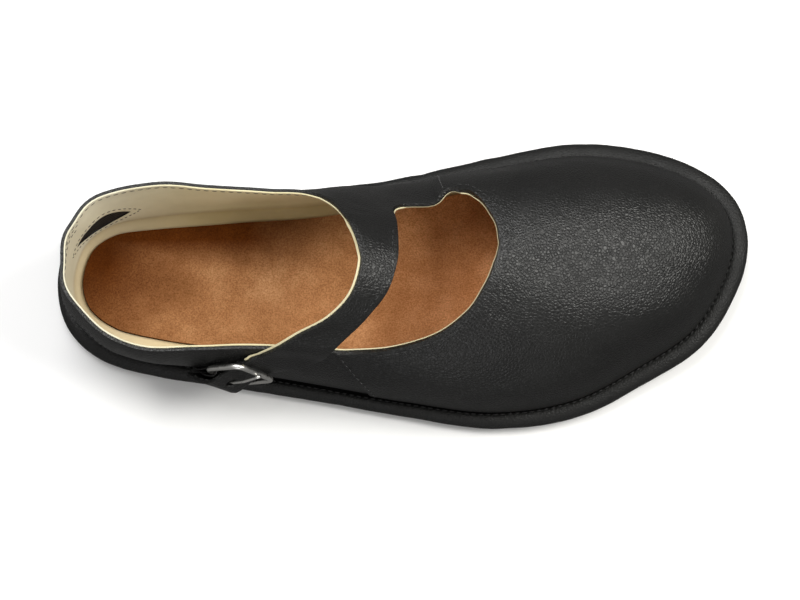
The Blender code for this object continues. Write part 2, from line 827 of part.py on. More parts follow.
def strap_hole(cutters):
    """Round hole through the strap for the prong."""
    bm = bmesh.new()
    centre = on_quarter(FRAME_LENGTH * 0.26, 0, 4.0 * MM)
    turn = SEAT_NORMAL.to_track_quat("Z", "Y").to_matrix().to_4x4()
    turn.translation = centre
    bmesh.ops.create_cone(bm, cap_ends=True, segments=16, radius1=STRAP_HOLE / 2,
                          radius2=STRAP_HOLE / 2, depth=9 * MM, matrix=turn)
    made = add_object("strap_hole", bm, BLACK_LEATHER, cutters)
    hide_cutter(made)
    return made


def tab_section():
    """The tab's inner face beside the buckle: places along the strap, and lifts."""
    wrap = FRAME_WIRE / 2 + GAP
    bar = FRAME_LENGTH / 2
    under = TAB_LIFT + TAB_THICKNESS
    section = [(bar + TAB_LENGTH, under), (bar + TAB_LENGTH * 0.7, under), (bar + 5 * MM, under)]
    for step in range(0, 9):
        turn = math.radians(-90 - 22.5 * step)
        section.append((bar + wrap * math.cos(turn), HINGE_LIFT + wrap * math.sin(turn)))
    section.append((bar + 2.6 * MM, HINGE_LIFT + wrap * 0.62))
    section.append((bar + 5 * MM, under + 0.8 * MM))
    return section


def build_tab(group):
    section = tab_section()
    shares = [-0.5, -TAB_SLOT / TAB_WIDTH / 2, TAB_SLOT / TAB_WIDTH / 2, 0.5]
    bm = bmesh.new()
    mapped_grid(bm, 3, len(section) - 1,
                lambda column, row: over_buckle(section[row][0], shares[column] * TAB_WIDTH, section[row][1]))
    slot = []
    for face in bm.faces:
        middle = face.calc_center_median() - HINGE
        if abs(middle.dot(STRAP_SIDE)) < TAB_SLOT / 4 and middle.dot(STRAP_RUN) < 4 * MM:
            slot.append(face)
    bmesh.ops.delete(bm, geom=slot, context="FACES")
    made = add_object("buckle_tab", bm, BLACK_LEATHER, group)
    lower = min(made.data.polygons, key=lambda face: (face.center - HINGE).dot(SEAT_NORMAL))
    if lower.normal.dot(SEAT_NORMAL) > 0:
        made.data.flip_normals()
    solidify(made, TAB_THICKNESS, 1)
    return made


def main():
    clear_scene()
    shoe = collection("barefoot_shoe")
    cutters = collection("cutters")
    build_outsole(shoe)
    build_midsole(shoe)
    build_insole(shoe)
    build_upper(shoe, cutters)
    for side, window in WINDOWS.items():
        build_elastic(side, window, shoe, cutters)
    build_frame(shoe)
    build_prong(shoe)
    build_tab(shoe)


main()
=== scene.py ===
"""Looks of a right barefoot shoe: grained black leather, cream lining, brown suede footbed, silver buckle.

Metres, +Z up. +X points to the toe and +Y to the inner (medial) side of the foot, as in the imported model.
"""

import math
from bisect import bisect_right
from collections import namedtuple
from functools import partial

import bmesh
import bpy
from mathutils import Matrix, Vector, noise
from mathutils.bvhtree import BVHTree


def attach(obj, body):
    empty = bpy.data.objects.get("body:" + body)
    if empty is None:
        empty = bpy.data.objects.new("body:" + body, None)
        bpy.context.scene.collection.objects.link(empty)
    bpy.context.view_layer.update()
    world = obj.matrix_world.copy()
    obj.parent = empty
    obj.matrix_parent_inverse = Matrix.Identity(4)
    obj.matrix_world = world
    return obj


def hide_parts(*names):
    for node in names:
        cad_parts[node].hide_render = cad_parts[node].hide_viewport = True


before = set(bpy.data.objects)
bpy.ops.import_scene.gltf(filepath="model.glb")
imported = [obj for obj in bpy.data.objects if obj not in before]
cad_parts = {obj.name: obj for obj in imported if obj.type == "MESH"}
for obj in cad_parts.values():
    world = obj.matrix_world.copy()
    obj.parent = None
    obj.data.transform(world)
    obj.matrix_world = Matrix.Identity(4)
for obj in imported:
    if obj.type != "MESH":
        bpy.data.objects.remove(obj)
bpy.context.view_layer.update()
MM = 0.001

# Sole
SOLE_LENGTH = 250.0 * MM
BALL_WIDTH = 105.4 * MM
TREAD_THICKNESS = 3.0 * MM
TREAD_INSET = 5.3 * MM
RIM_CLEARANCE = 0.8 * MM
MIDSOLE_TOP = 8.0 * MM
RIM_BEAD = 0.9 * MM
RIM_WIDTH = 4.9 * MM
RIM_ROLL = 1.9 * MM
INSOLE_THICKNESS = 3.0 * MM
TOE_SPRING = 6.0 * MM
SPRING_START = 0.72
GAP = 0.3 * MM

# Upper
COLLAR_HEIGHT = 56.0 * MM
INSTEP_HEIGHT = 74.0 * MM
VAMP_WALL = 2.4 * MM
QUARTER_WALL = 1.7 * MM
FEATHER_RADIUS = 2.2 * MM
LINING = 0.5 * MM

# Elastic inserts
WINDOW_LENGTH = 23.0 * MM
WINDOW_HEIGHT = 13.0 * MM
Window = namedtuple("Window", "angle height")
WINDOWS = {"medial": Window(26.5, 27.0 * MM), "lateral": Window(335.5, 32.0 * MM)}
ELASTIC_THICKNESS = 1.0 * MM

# Strap and buckle
STRAP_WIDTH = 14.0 * MM
BUCKLE_FROM_HEEL = 68.0 * MM
BUCKLE_HEIGHT = 30.0 * MM
BUCKLE_SLOPE = math.radians(36.0)
FRAME_LENGTH = 15.0 * MM
FRAME_WIDTH = 19.4 * MM
FRAME_WIRE = 1.8 * MM
FRAME_CORNER = 3.0 * MM
PRONG_WIRE = 1.1 * MM
TAB_WIDTH = 12.4 * MM
TAB_THICKNESS = 0.8 * MM
TAB_LENGTH = 10.0 * MM
TAB_SLOT = 3.4 * MM
STRAP_HOLE = 3.6 * MM

# Outline of the sole, as shares of BALL_WIDTH. The angle runs from the heel (0) to the toe (180):
# the place along the foot is SOLE_LENGTH * (1 - cos(angle)) / 2.
Outline = namedtuple("Outline", "angle medial lateral")
OUTLINE = [
    Outline(0, 0.005, 0.005),
    Outline(15, 0.177, -0.149),
    Outline(30, 0.285, -0.257),
    Outline(45, 0.324, -0.313),
    Outline(60, 0.337, -0.351),
    Outline(75, 0.340, -0.398),
    Outline(90, 0.379, -0.453),
    Outline(105, 0.447, -0.4965),
    Outline(120, 0.4965, -0.459),
    Outline(135, 0.470, -0.340),
    Outline(150, 0.396, -0.215),
    Outline(165, 0.284, -0.031),
    Outline(180, 0.135, 0.135),
]

# Edge of collar and throat, along the line between leather and lining. The angle is that of the outline point
# below it, on through the toe (180) and back along the lateral side to the heel (360).
# along is a share of SOLE_LENGTH from the heel, across of BALL_WIDTH, height of COLLAR_HEIGHT.
Edge = namedtuple("Edge", "angle along across height")
TOPLINE = [
    Edge(0, 0.034, -0.005, 1.000),
    Edge(20, 0.043, 0.110, 0.991),
    Edge(36, 0.086, 0.221, 0.955),
    Edge(46, 0.154, 0.260, 0.911),
    Edge(58, 0.234, 0.251, 0.884),
    Edge(69, 0.316, 0.237, 0.895),
    Edge(75.5, 0.374, 0.221, 0.946),
    Edge(79.5, 0.408, 0.176, 1.054),
    Edge(82, 0.426, 0.119, 1.161),
    Edge(85.2, 0.489, 0.128, 1.027),
    Edge(86.6, 0.484, 0.175, 0.893),
    Edge(88.2, 0.488, 0.196, 0.827),
    Edge(90.6, 0.512, 0.199, 0.800),
    Edge(94, 0.552, 0.214, 0.786),
    Edge(95, 0.561, 0.238, 0.795),
    Edge(98.5, 0.584, 0.243, 0.804),
    Edge(105, 0.606, 0.217, 0.839),
    Edge(116, 0.625, 0.152, 0.911),
    Edge(138, 0.634, 0.070, 0.964),
    Edge(162, 0.633, 0.030, 0.982),
    Edge(186, 0.628, -0.008, 0.991),
    Edge(208, 0.614, -0.085, 0.973),
    Edge(225, 0.589, -0.169, 0.920),
    Edge(240, 0.546, -0.238, 0.857),
    Edge(254, 0.488, -0.275, 0.804),
    Edge(268, 0.429, -0.284, 0.777),
    Edge(280, 0.394, -0.282, 0.777),
    Edge(294, 0.293, -0.269, 0.813),
    Edge(305, 0.209, -0.277, 0.857),
    Edge(314, 0.147, -0.282, 0.893),
    Edge(325, 0.094, -0.240, 0.938),
    Edge(337, 0.054, -0.150, 0.986),
    Edge(350, 0.035, -0.073, 1.000),
]
STRAP_BACK_ANGLE = 82
STRAP_FRONT_ANGLE = 85.2

# Shape of the wall between feather and edge, a cubic curve in each section. foot widens the rim and so
# sets the wall's bottom in, as a share of BALL_WIDTH. bulge is the outward lean at the bottom and lean the
# one at the edge, both as shares of the wall's height, as are rise and drop, the lengths of the two
# handles. reach draws the upper handle towards the feather, as a share of the distance between feather
# and edge in plan.
Form = namedtuple("Form", "angle foot bulge rise reach lean drop")
WALL_FORM = [
    Form(0, 0.003, 0.02, 0.31, 0.00, 0.05, 0.35),
    Form(30, 0.028, -0.07, 0.36, 0.00, 0.03, 0.33),
    Form(55, 0.027, 0.02, 0.35, 0.02, 0.03, 0.30),
    Form(72, 0.012, 0.08, 0.42, 0.14, 0.01, 0.26),
    Form(81, 0.004, 0.07, 0.46, 0.40, 0.00, 0.18),
    Form(85.2, 0.000, 0.05, 0.41, 0.28, 0.00, 0.20),
    Form(91, 0.000, 0.03, 0.42, 0.30, 0.00, 0.24),
    Form(100, 0.010, -0.06, 0.46, 0.45, 0.00, 0.15),
    Form(125, 0.020, -0.14, 0.47, 0.52, 0.00, 0.17),
    Form(155, 0.021, -0.10, 0.50, 0.58, 0.00, 0.32),
    Form(190, 0.020, -0.04, 0.52, 0.60, 0.00, 0.36),
    Form(225, 0.015, -0.03, 0.53, 0.55, 0.00, 0.20),
    Form(250, 0.008, 0.00, 0.50, 0.45, 0.00, 0.18),
    Form(272, 0.000, 0.06, 0.44, 0.25, 0.03, 0.28),
    Form(295, 0.004, 0.09, 0.34, 0.00, 0.09, 0.33),
    Form(325, 0.012, 0.11, 0.30, 0.00, 0.09, 0.35),
]

# Distance of the insole's edge from the sole's outline, as shares of BALL_WIDTH
Inset = namedtuple("Inset", "angle inset")
INSOLE_INSET = [
    Inset(0, 0.095),
    Inset(28, 0.125),
    Inset(50, 0.136),
    Inset(80, 0.110),
    Inset(110, 0.114),
    Inset(140, 0.126),
    Inset(180, 0.126),
    Inset(220, 0.121),
    Inset(250, 0.110),
    Inset(280, 0.115),
    Inset(310, 0.122),
    Inset(332, 0.114),
]

# Angles between which the vamp lies over the quarters
VAMP_START_ANGLE = 94.0
VAMP_END_ANGLE = 276.0
SEAM_ANGLE = 1.0

# The free stretch of the strap over the instep, on its inner face: both its edges as shares of
# SOLE_LENGTH, BALL_WIDTH and INSTEP_HEIGHT.
Bridge = namedtuple("Bridge", "back_along back_across back_height front_along front_across front_height")
STRAP_BRIDGE = [
    Bridge(0.441, 0.020, 0.962, 0.494, 0.045, 0.878),
    Bridge(0.441, -0.060, 0.985, 0.490, -0.040, 0.908),
    Bridge(0.430, -0.135, 0.962, 0.480, -0.115, 0.910),
    Bridge(0.401, -0.202, 0.895, 0.455, -0.187, 0.862),
    Bridge(0.358, -0.246, 0.795, 0.425, -0.247, 0.765),
    Bridge(0.325, -0.280, 0.700, 0.400, -0.292, 0.670),
]

# The seated stretch, in the buckle's own directions: places along the strap for its back and front
# edges, as shares of FRAME_LENGTH from the buckle's centre.
Seat = namedtuple("Seat", "back front lift")
SEAT_ON_QUARTER = [
    Seat(-0.95, -1.95, 0.5 * MM),
    Seat(-0.68, -1.12, 0.5 * MM),
    Seat(-0.52, -0.52, 0.5 * MM),
    Seat(-0.32, -0.32, 0.5 * MM),
    Seat(-0.08, -0.08, 1.3 * MM),
    Seat(0.20, 0.20, 3.4 * MM),
    Seat(0.50, 0.50, 5.6 * MM),
    Seat(0.80, 0.80, 4.6 * MM),
    Seat(1.03, 1.03, 2.8 * MM),
    Seat(1.22, 1.22, 2.0 * MM),
]


# Tables read as smooth curves

def clamp(value):
    return min(max(value, 0.0), 1.0)


def smooth(keys, values, at):
    """Cubic curve through the values, read at one key."""
    low = min(max(bisect_right(keys, at) - 1, 0), len(keys) - 2)

    def slope(index):
        before, after = max(index - 1, 0), min(index + 1, len(keys) - 1)
        left, right = keys[index] - keys[before], keys[after] - keys[index]
        if not left or not right:
            return (values[after] - values[before]) / (left + right)
        rise_before = (values[index] - values[before]) / left
        rise_after = (values[after] - values[index]) / right
        return (rise_before * right + rise_after * left) / (left + right)

    span = keys[low + 1] - keys[low]
    t = (at - keys[low]) / span
    blend = t * t * (3 - 2 * t)
    return (values[low] * (1 - blend) + values[low + 1] * blend
            + slope(low) * span * t * (1 - t) ** 2
            - slope(low + 1) * span * t * t * (1 - t))


def around(rows, column):
    """A column of a table that goes once round the shoe, as a function of the angle."""
    keys = [row.angle for row in rows]
    values = [getattr(row, column) for row in rows]
    keys = [key - 360 for key in keys[-3:]] + keys + [key + 360 for key in keys[:3]]
    values = values[-3:] + values + values[:3]
    return lambda angle: smooth(keys, values, angle % 360)


Side = namedtuple("Side", "angle across")
SIDES = [Side(row.angle, row.medial) for row in OUTLINE]
SIDES += [Side(360 - row.angle, row.lateral) for row in reversed(OUTLINE[1:-1])]
outline_across = around(SIDES, "across")
edge_along = around(TOPLINE, "along")
edge_across = around(TOPLINE, "across")
edge_height = around(TOPLINE, "height")
form = {name: around(WALL_FORM, name) for name in ("foot", "bulge", "rise", "reach", "lean", "drop")}
insole_inset = around(INSOLE_INSET, "inset")


# The last's shape

def spring(x):
    """Height of the toe spring at a place along the foot."""
    start = (SPRING_START - 0.5) * SOLE_LENGTH
    share = max(0.0, (x - start) / (SOLE_LENGTH / 2 - start))
    return TOE_SPRING * share * share


def outline(angle):
    x = -SOLE_LENGTH * math.cos(math.radians(angle)) / 2
    return Vector((x, outline_across(angle) * BALL_WIDTH, 0))


def outward(angle):
    """Unit vector square to the outline, away from the foot."""
    along = outline(angle + 0.5) - outline(angle - 0.5)
    return Vector((-along.y, along.x, 0)).normalized()


def inset(angle, distance, height):
    """A point inside the outline, at a height above the sprung sole."""
    point = outline(angle) - outward(angle) * distance
    point.z = height + spring(point.x)
    return point


def edge_line(angle):
    return Vector(((edge_along(angle) - 0.5) * SOLE_LENGTH,
                   edge_across(angle) * BALL_WIDTH,
                   edge_height(angle) * COLLAR_HEIGHT))


def edge_point(angle):
    """The lining lies inside the line between leather and lining."""
    along = edge_line(angle + 1.5) - edge_line(angle - 1.5)
    return edge_line(angle) + Vector((along.y, -along.x, 0)).normalized() * LINING


def vamp_cover(angle, spread):
    """How far the vamp lies over the quarters, rising from 0 to 1 within a spread of angles."""
    return clamp(min(angle - VAMP_START_ANGLE, VAMP_END_ANGLE - angle) / spread)


def wall_thickness(angle):
    """Leather and lining together: the vamp lies over the quarters."""
    return QUARTER_WALL + (VAMP_WALL - QUARTER_WALL) * vamp_cover(angle, SEAM_ANGLE)


FLANGE_TOP = MIDSOLE_TOP + GAP + QUARTER_WALL


def groove(angle):
    """Distance of the groove between rim and upper from the outline."""
    return RIM_WIDTH + form["foot"](angle) * BALL_WIDTH


def upper_point(angle, level):
    """Inner face of the upper: 0 to 1 lasting margin, 1 to 2 fillet, 2 to 3 wall."""
    margin = insole_inset(angle) * BALL_WIDTH - GAP
    feather = groove(angle) + QUARTER_WALL
    bend = feather + FEATHER_RADIUS
    if level <= 1:
        return inset(angle, margin + (bend - margin) * level, FLANGE_TOP)
    if level <= 2:
        turn = (level - 1) * math.pi / 2
        return inset(angle, bend - FEATHER_RADIUS * math.sin(turn),
                     FLANGE_TOP + FEATHER_RADIUS * (1 - math.cos(turn)))
    foot = inset(angle, feather, FLANGE_TOP + FEATHER_RADIUS)
    edge = edge_point(angle)
    height = edge.z - foot.z
    out = outward(angle)
    to_foot = Vector((foot.x - edge.x, foot.y - edge.y, 0))
    low = foot + out * form["bulge"](angle) * height
    low.z += form["rise"](angle) * height
    high = edge + to_foot * form["reach"](angle) + out * form["lean"](angle) * height
    high.z -= form["drop"](angle) * height
    t = level - 2
    return (foot * (1 - t) ** 3 + low * 3 * t * (1 - t) ** 2
            + high * 3 * t * t * (1 - t) + edge * t ** 3)


def upper_normal(angle, level):
    """Unit vector out of the shoe."""
    along = upper_point(angle + 0.2, level) - upper_point(angle - 0.2, level)
    lower, upper = max(level - 0.01, 2.0), min(level + 0.01, 3.0)
    up = upper_point(angle, upper) - upper_point(angle, lower)
    return up.cross(along).normalized()


def outer_point(angle, level):
    return upper_point(angle, level) + upper_normal(angle, level) * wall_thickness(angle)


# The buckle's place on the lateral quarter

def solve_on_wall(residual, angle, level):
    """Angle and level where both residuals vanish, by Newton steps."""
    step = 0.01
    for _ in range(12):
        here = residual(angle, level)
        by_angle = [(b - a) / step for a, b in zip(here, residual(angle + step, level))]
        by_level = [(b - a) / step for a, b in zip(here, residual(angle, level + step))]
        scale = by_angle[0] * by_level[1] - by_angle[1] * by_level[0]
        angle -= (here[0] * by_level[1] - here[1] * by_level[0]) / scale
        level -= (by_angle[0] * here[1] - by_angle[1] * here[0]) / scale
    return angle, level


def wall_seat(x, z, angle, level=2.5):
    """Point and normal of the outer wall at a place along the foot and a height."""
    def residual(a, b):
        point = outer_point(a, b)
        return point.x - x, point.z - z
    angle, level = solve_on_wall(residual, angle, level)
    return outer_point(angle, level), upper_normal(angle, level), angle, level


UP = Vector((0, 0, 1))
LATERAL_ANGLE = 297.0
BUCKLE_X = BUCKLE_FROM_HEEL - SOLE_LENGTH / 2
SEAT, SEAT_NORMAL, SEAT_ANGLE, SEAT_LEVEL = wall_seat(BUCKLE_X, BUCKLE_HEIGHT, LATERAL_ANGLE)
SEAT_FORE = UP.cross(SEAT_NORMAL).normalized()
SEAT_RISE = SEAT_NORMAL.cross(SEAT_FORE)
STRAP_RUN = -SEAT_FORE * math.cos(BUCKLE_SLOPE) - SEAT_RISE * math.sin(BUCKLE_SLOPE)
STRAP_SIDE = SEAT_FORE * math.sin(BUCKLE_SLOPE) - SEAT_RISE * math.cos(BUCKLE_SLOPE)


def foot_on_wall(face, point, fore, rise, angle, level):
    """Angle and level where a face of the wall lies straight behind a point."""
    def residual(a, b):
        offset = face(a, b) - point
        return offset.dot(fore), offset.dot(rise)
    return solve_on_wall(residual, angle, level)


def on_quarter(along, across, lift):
    """A point over the outer wall, in the buckle's own directions."""
    flat = SEAT + STRAP_RUN * along + STRAP_SIDE * across
    foot = foot_on_wall(outer_point, flat, SEAT_FORE, SEAT_RISE, SEAT_ANGLE, SEAT_LEVEL)
    return outer_point(*foot) + SEAT_NORMAL * lift


def over_buckle(along, across, lift):
    """A point on a line straight across the strap, in line with the bars beside them."""
    beside = max(0.0, abs(along) / FRAME_LENGTH - 0.55)
    lie = (on_quarter(along, 5 * MM, 0) - on_quarter(along, -5 * MM, 0)).normalized()
    side = STRAP_SIDE.lerp(lie, min(1.0, beside * 2)).normalized()
    return on_quarter(along, 0, lift) + side * across


STRAP_LIFT = 0.5 * MM
TAB_LIFT = 0.7 * MM
HINGE_LIFT = TAB_LIFT + TAB_THICKNESS + GAP + FRAME_WIRE / 2
FREE_LIFT = STRAP_LIFT + QUARTER_WALL + 2 * GAP + FRAME_WIRE / 2
HINGE = on_quarter(FRAME_LENGTH / 2, 0, HINGE_LIFT)
FREE_BAR = on_quarter(-FRAME_LENGTH / 2, 0, FREE_LIFT)


# Forms that only the looks need

COLUMN_STEP = 2.0 * MM
MARGIN_ROWS = 2
BEND_ROWS = 4
HIGH_ROWS = 30
STRAP_ROW = 1.8 * MM
SEAM_SPREAD = 0.35

# The smoothing of the strap's root: its reach, and the rounds on the leather and on its edges
ROOT_REACH = 17.0 * MM
ROOT_ROUNDS = 40
EDGE_ROUNDS = 14

# How far the lining stands past the leather's edge, and the share of that at the vamp, the quarters and the
# strap's rear edge. The share is below zero where the leather hides the lining: beside the vamp's start,
# within an angle, at the strap's front edge and on its tail, past a share of its length.
EDGE_SHOW = 0.46 * MM
SHOWN_AT_VAMP = 0.25
SHOWN_AT_QUARTER = 0.75
SHOWN_BEHIND_STRAP = 1.5
HIDDEN = -1.1
FLAP_SPREAD = 4.5
STRAP_LINED = 0.76

# Rounded edges of the pieces
LEATHER_ROUNDING = 0.45 * MM
FOOTBED_ROUNDING = 0.7 * MM
TREAD_ROUNDING = 0.5 * MM
TAB_ROUNDING = 0.25 * MM

# Windows and the webbing in them
WINDOW_ARC_STEPS = 26
WINDOW_REACH = 9.0 * MM
WEBBING_COLUMNS = 30
WEBBING_ROWS = 40
RIB_PITCH = 1.9 * MM
RIB_RELIEF = 0.18 * MM

# Rim: its rows of facets, and the seam groove beside the upper as distances outside it and below the crown
RIM_STEP = 9
RIM_ANGLE_STEP = 0.75
MIDSOLE_OVERLAP = 6.0 * MM
GROOVE_PROFILE = [(1.1 * MM, 0.2 * MM), (0.6 * MM, 0.6 * MM), (0.25 * MM, 1.0 * MM)]
GROOVE_FLOOR = MIDSOLE_TOP - 0.35 * MM

# Creases of the rim: where they are deepest round the foot, within what angle, and their wave, as the length
# along the foot for each radian and the radians from the rim's bottom to its top
ARCH_ANGLE = 82
ARCH_SPREAD = 22
CREASE_RUN = 2.3 * MM
CREASE_SLANT = 9

# Columns and rows of the level sheets
CORE_GRID = (90, 24)
FOOTBED_GRID = (130, 46)
TREAD_GRID = (120, 40)

# Stitching. The seams' distances are below the edge of the wall, or beside the edge that they follow.
STITCH_PITCH = 2.9 * MM
STITCH_LENGTH = 2.1 * MM
THREAD = 0.45 * MM
COLLAR_SEAM = 2.6 * MM
COLLAR_SEAM_ANGLES = (-52, 78)
THROAT_SEAM = 2.2 * MM
THROAT_SEAM_ANGLES = (97, 262)
HEEL_SEAMS = (6.0 * MM, 9.5 * MM)
HEEL_SEAM_ANGLES = (-22, 22)
HEEL_STITCH_PITCH = STITCH_PITCH * 0.8
HEEL_STITCH_LENGTH = 1.6 * MM
VAMP_SEAM_ANGLE = 1.2
VAMP_SEAM_LEVELS = (2.06, 2.93)
WINDOW_SEAM_ALONG = 3.4 * MM
WINDOW_SEAM_UP = 2.2 * MM
WINDOW_SEAM_TURNS = (0.01, 1.99)
WINDOW_STITCH_PITCH = STITCH_PITCH * 0.75
WINDOW_STITCH_LENGTH = 1.5 * MM
RIM_SEAM = 0.9 * MM
RIM_SEAM_HEIGHT = 0.7 * MM
RIM_STITCH_PITCH = 2.6 * MM
RIM_STITCH_LENGTH = 1.9 * MM
RIM_THREAD = 0.6 * MM
STRAP_SEAM_SHARES = (0.12, 0.88)
STRAP_SEAM_START = 4.0 * MM
STRAP_SEAM_END = 2.5 * MM

# Tread
TREAD_CELL = 2.3 * MM
TREAD_RELIEF = 0.35 * MM
TREAD_SLOPE = 0.42 * MM

# Buckle: the prong's line past its eye as shares of the way to the free bar, with lifts in eye radii
EYE_GAP = 0.25 * MM
PRONG_LINE = [(0.14, 0.7), (0.21, 1.3), (0.33, 1.65), (0.63, 1.6), (1.0, 1.0), (1.12, 0.85)]
HOOP_FULLNESS = 0.58
HOLE_PLACE = 0.26
HOLE_SIDES = 28
HOLE_HEIGHT = 4.0 * MM
HOLE_DEPTH = 9.0 * MM
TAB_SHARES = (0.28, 0.4, 0.5)
TAB_JOIN = 5.0 * MM

# Soft folds of the leather, in mm: the middle, the direction, then length, width and depth
Fold = namedtuple("Fold", "x y z dx dy dz length width depth")
FOLDS = [
    Fold(56, -34, 38, 1.0, 0.10, -0.25, 24, 5.0, -0.55),
    Fold(44, -27, 47, 1.0, -0.55, -0.2, 14, 3.0, 0.30),
    Fold(40, 26, 45, 0.5, 1.0, -0.5, 12, 2.6, -0.35),
    Fold(52, 30, 42, 0.35, 1.0, -0.6, 12, 3.2, -0.30),
    Fold(30, 36, 30, 0.3, 0.3, -1.0, 14, 3.0, -0.35),
    Fold(-30, 33, 30, 0.7, 0.1, -1.0, 16, 3.6, -0.35),
    Fold(-45, -34, 27, -0.6, 0.0, -1.0, 14, 3.2, -0.30),
    Fold(-95, 28, 25, 1.0, 0.2, 0.15, 18, 3.0, -0.30),
    Fold(10, -38, 27, 1.0, 0.0, 0.3, 22, 4.0, -0.35),
    Fold(-20, 11, 66, 0.2, 1.0, -0.6, 9, 1.5, -0.25),
    Fold(-16, 14, 60, 1.0, 0.1, -0.1, 7, 1.6, -0.30),
    Fold(-18, 17, 55, 1.0, 0.0, 0.2, 7, 1.8, -0.25),
]


def fold_depth(point):
    """How far the leather stands out, or in below zero, at a point."""
    depth = 0.22 * noise.noise(point * 38) + 0.10 * noise.noise(point * 110)
    for fold in FOLDS:
        offset = point / MM - Vector((fold.x, fold.y, fold.z))
        direction = Vector((fold.dx, fold.dy, fold.dz)).normalized()
        along = offset.dot(direction)
        beside = (offset - direction * along).length
        if abs(along) < fold.length * 2 and beside < fold.width * 3:
            depth += fold.depth * math.exp(-((along / fold.length) ** 2) - (beside / fold.width) ** 2)
    return depth * MM


# Building blocks

def mesh_object(name, bm, materials):
    """One object from a finished bmesh."""
    mesh = bpy.data.meshes.new(name)
    bm.to_mesh(mesh)
    bm.free()
    for one in materials:
        mesh.materials.append(one)
    made = bpy.data.objects.new(name, mesh)
    bpy.context.scene.collection.objects.link(made)
    return made


def piece(name, bm, materials, recalculate=True):
    """A smooth piece on the shoe's only body."""
    if recalculate:
        bmesh.ops.recalc_face_normals(bm, faces=bm.faces)
    made = mesh_object(name, bm, materials)
    made.data.shade_smooth()
    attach(made, "root")
    return made


def mapped_grid(bm, columns, rows, place):
    """A grid placed by column and row numbers. Gives its vertices with their numbers."""
    before = set(bm.verts)
    bmesh.ops.create_grid(bm, x_segments=columns, y_segments=rows, size=1)
    grid = []
    for vert in bm.verts:
        if vert not in before:
            column = round((vert.co.x + 1) / 2 * columns)
            row = round((vert.co.y + 1) / 2 * rows)
            vert.co = place(column, row)
            grid.append((vert, column, row))
    return grid


def weld(bm):
    bmesh.ops.remove_doubles(bm, verts=bm.verts, dist=0.00001)


def freeze(made):
    """Keep the shape that the live modifiers give."""
    graph = bpy.context.evaluated_depsgraph_get()
    mesh = bpy.data.meshes.new_from_object(made.evaluated_get(graph))
    made.modifiers.clear()
    made.data = mesh


def turn_faces(bm, looks_wrong):
    """Turn the faces to one side, and to the other one where the test says so."""
    bmesh.ops.recalc_face_normals(bm, faces=bm.faces)
    if looks_wrong(bm.faces):
        bmesh.ops.reverse_faces(bm, faces=bm.faces)


def thicken(made, thickness, offset, group=""):
    shell = made.modifiers.new("Thickness", "SOLIDIFY")
    shell.thickness = thickness
    shell.offset = offset
    shell.use_even_offset = True
    shell.use_quality_normals = True
    shell.vertex_group = group


def thicken_sheet(made, thickness, upward):
    """Thickness above or below a level sheet, whichever way its faces look."""
    looks_up = sum(face.normal.z for face in made.data.polygons) > 0
    thicken(made, thickness, 1 if looks_up == upward else -1)


def round_edges(made, width, segments, angle):
    rounding = made.modifiers.new("Rounding", "BEVEL")
    rounding.width = width
    rounding.segments = segments
    rounding.limit_method = "ANGLE"
    rounding.angle_limit = math.radians(angle)


def cut(made, cutter):
    hole = made.modifiers.new("Cut", "BOOLEAN")
    hole.operation = "DIFFERENCE"
    hole.solver = "EXACT"
    hole.material_mode = "TRANSFER"
    hole.object = cutter


# Finishes

def new_finish(name, colour, roughness, metallic=0.0, sockets=()):
    made = bpy.data.materials.new(name)
    made.use_nodes = True
    shader = made.node_tree.nodes["Principled BSDF"]
    shader.inputs["Base Color"].default_value = (*colour, 1)
    shader.inputs["Roughness"].default_value = roughness
    shader.inputs["Metallic"].default_value = metallic
    for socket, value in sockets:
        shader.inputs[socket].default_value = value
    return made


def add(made, kind, **values):
    node = made.node_tree.nodes.new(kind)
    for key, value in values.items():
        setattr(node, key, value)
    return node


def join(made, source, target):
    made.node_tree.links.new(source, target)


def place_coordinates(made, stretch=(1, 1, 1)):
    coordinates = add(made, "ShaderNodeTexCoord")
    mapping = add(made, "ShaderNodeMapping")
    mapping.inputs["Scale"].default_value = stretch
    join(made, coordinates.outputs["Object"], mapping.inputs["Vector"])
    return mapping.outputs["Vector"]


def cloudy(made, scale, detail=3.0, stretch=(1, 1, 1), roughness=0.55):
    texture = add(made, "ShaderNodeTexNoise")
    texture.inputs["Scale"].default_value = scale
    texture.inputs["Detail"].default_value = detail
    texture.inputs["Roughness"].default_value = roughness
    join(made, place_coordinates(made, stretch), texture.inputs["Vector"])
    return texture.outputs["Fac"]


def pebbled(made, scale):
    """Rounded grains with narrow furrows between them."""
    texture = add(made, "ShaderNodeTexVoronoi", feature="DISTANCE_TO_EDGE")
    texture.inputs["Scale"].default_value = scale
    join(made, place_coordinates(made), texture.inputs["Vector"])
    return ranged(made, texture.outputs["Distance"], 0.0, 0.28, 0.0, 1.0)


def ramp(made, source, stops):
    """Colours over a value, from (position, colour) stops."""
    node = add(made, "ShaderNodeValToRGB")
    elements = node.color_ramp.elements
    while len(elements) < len(stops):
        elements.new(0.5)
    for element, (position, colour) in zip(elements, stops):
        element.position = position
        element.color = (*colour, 1)
    join(made, source, node.inputs["Fac"])
    return node.outputs["Color"]


def ranged(made, source, low, high, to_low, to_high):
    node = add(made, "ShaderNodeMapRange")
    for socket, value in zip(("From Min", "From Max", "To Min", "To Max"), (low, high, to_low, to_high)):
        node.inputs[socket].default_value = value
    join(made, source, node.inputs["Value"])
    return node.outputs["Result"]


def blend(made, factor, first, second, mode="MIX"):
    node = add(made, "ShaderNodeMix", data_type="RGBA", blend_type=mode)
    if isinstance(factor, float):
        node.inputs["Factor"].default_value = factor
    else:
        join(made, factor, node.inputs["Factor"])
    join(made, first, node.inputs["A"])
    join(made, second, node.inputs["B"])
    return node.outputs["Result"]


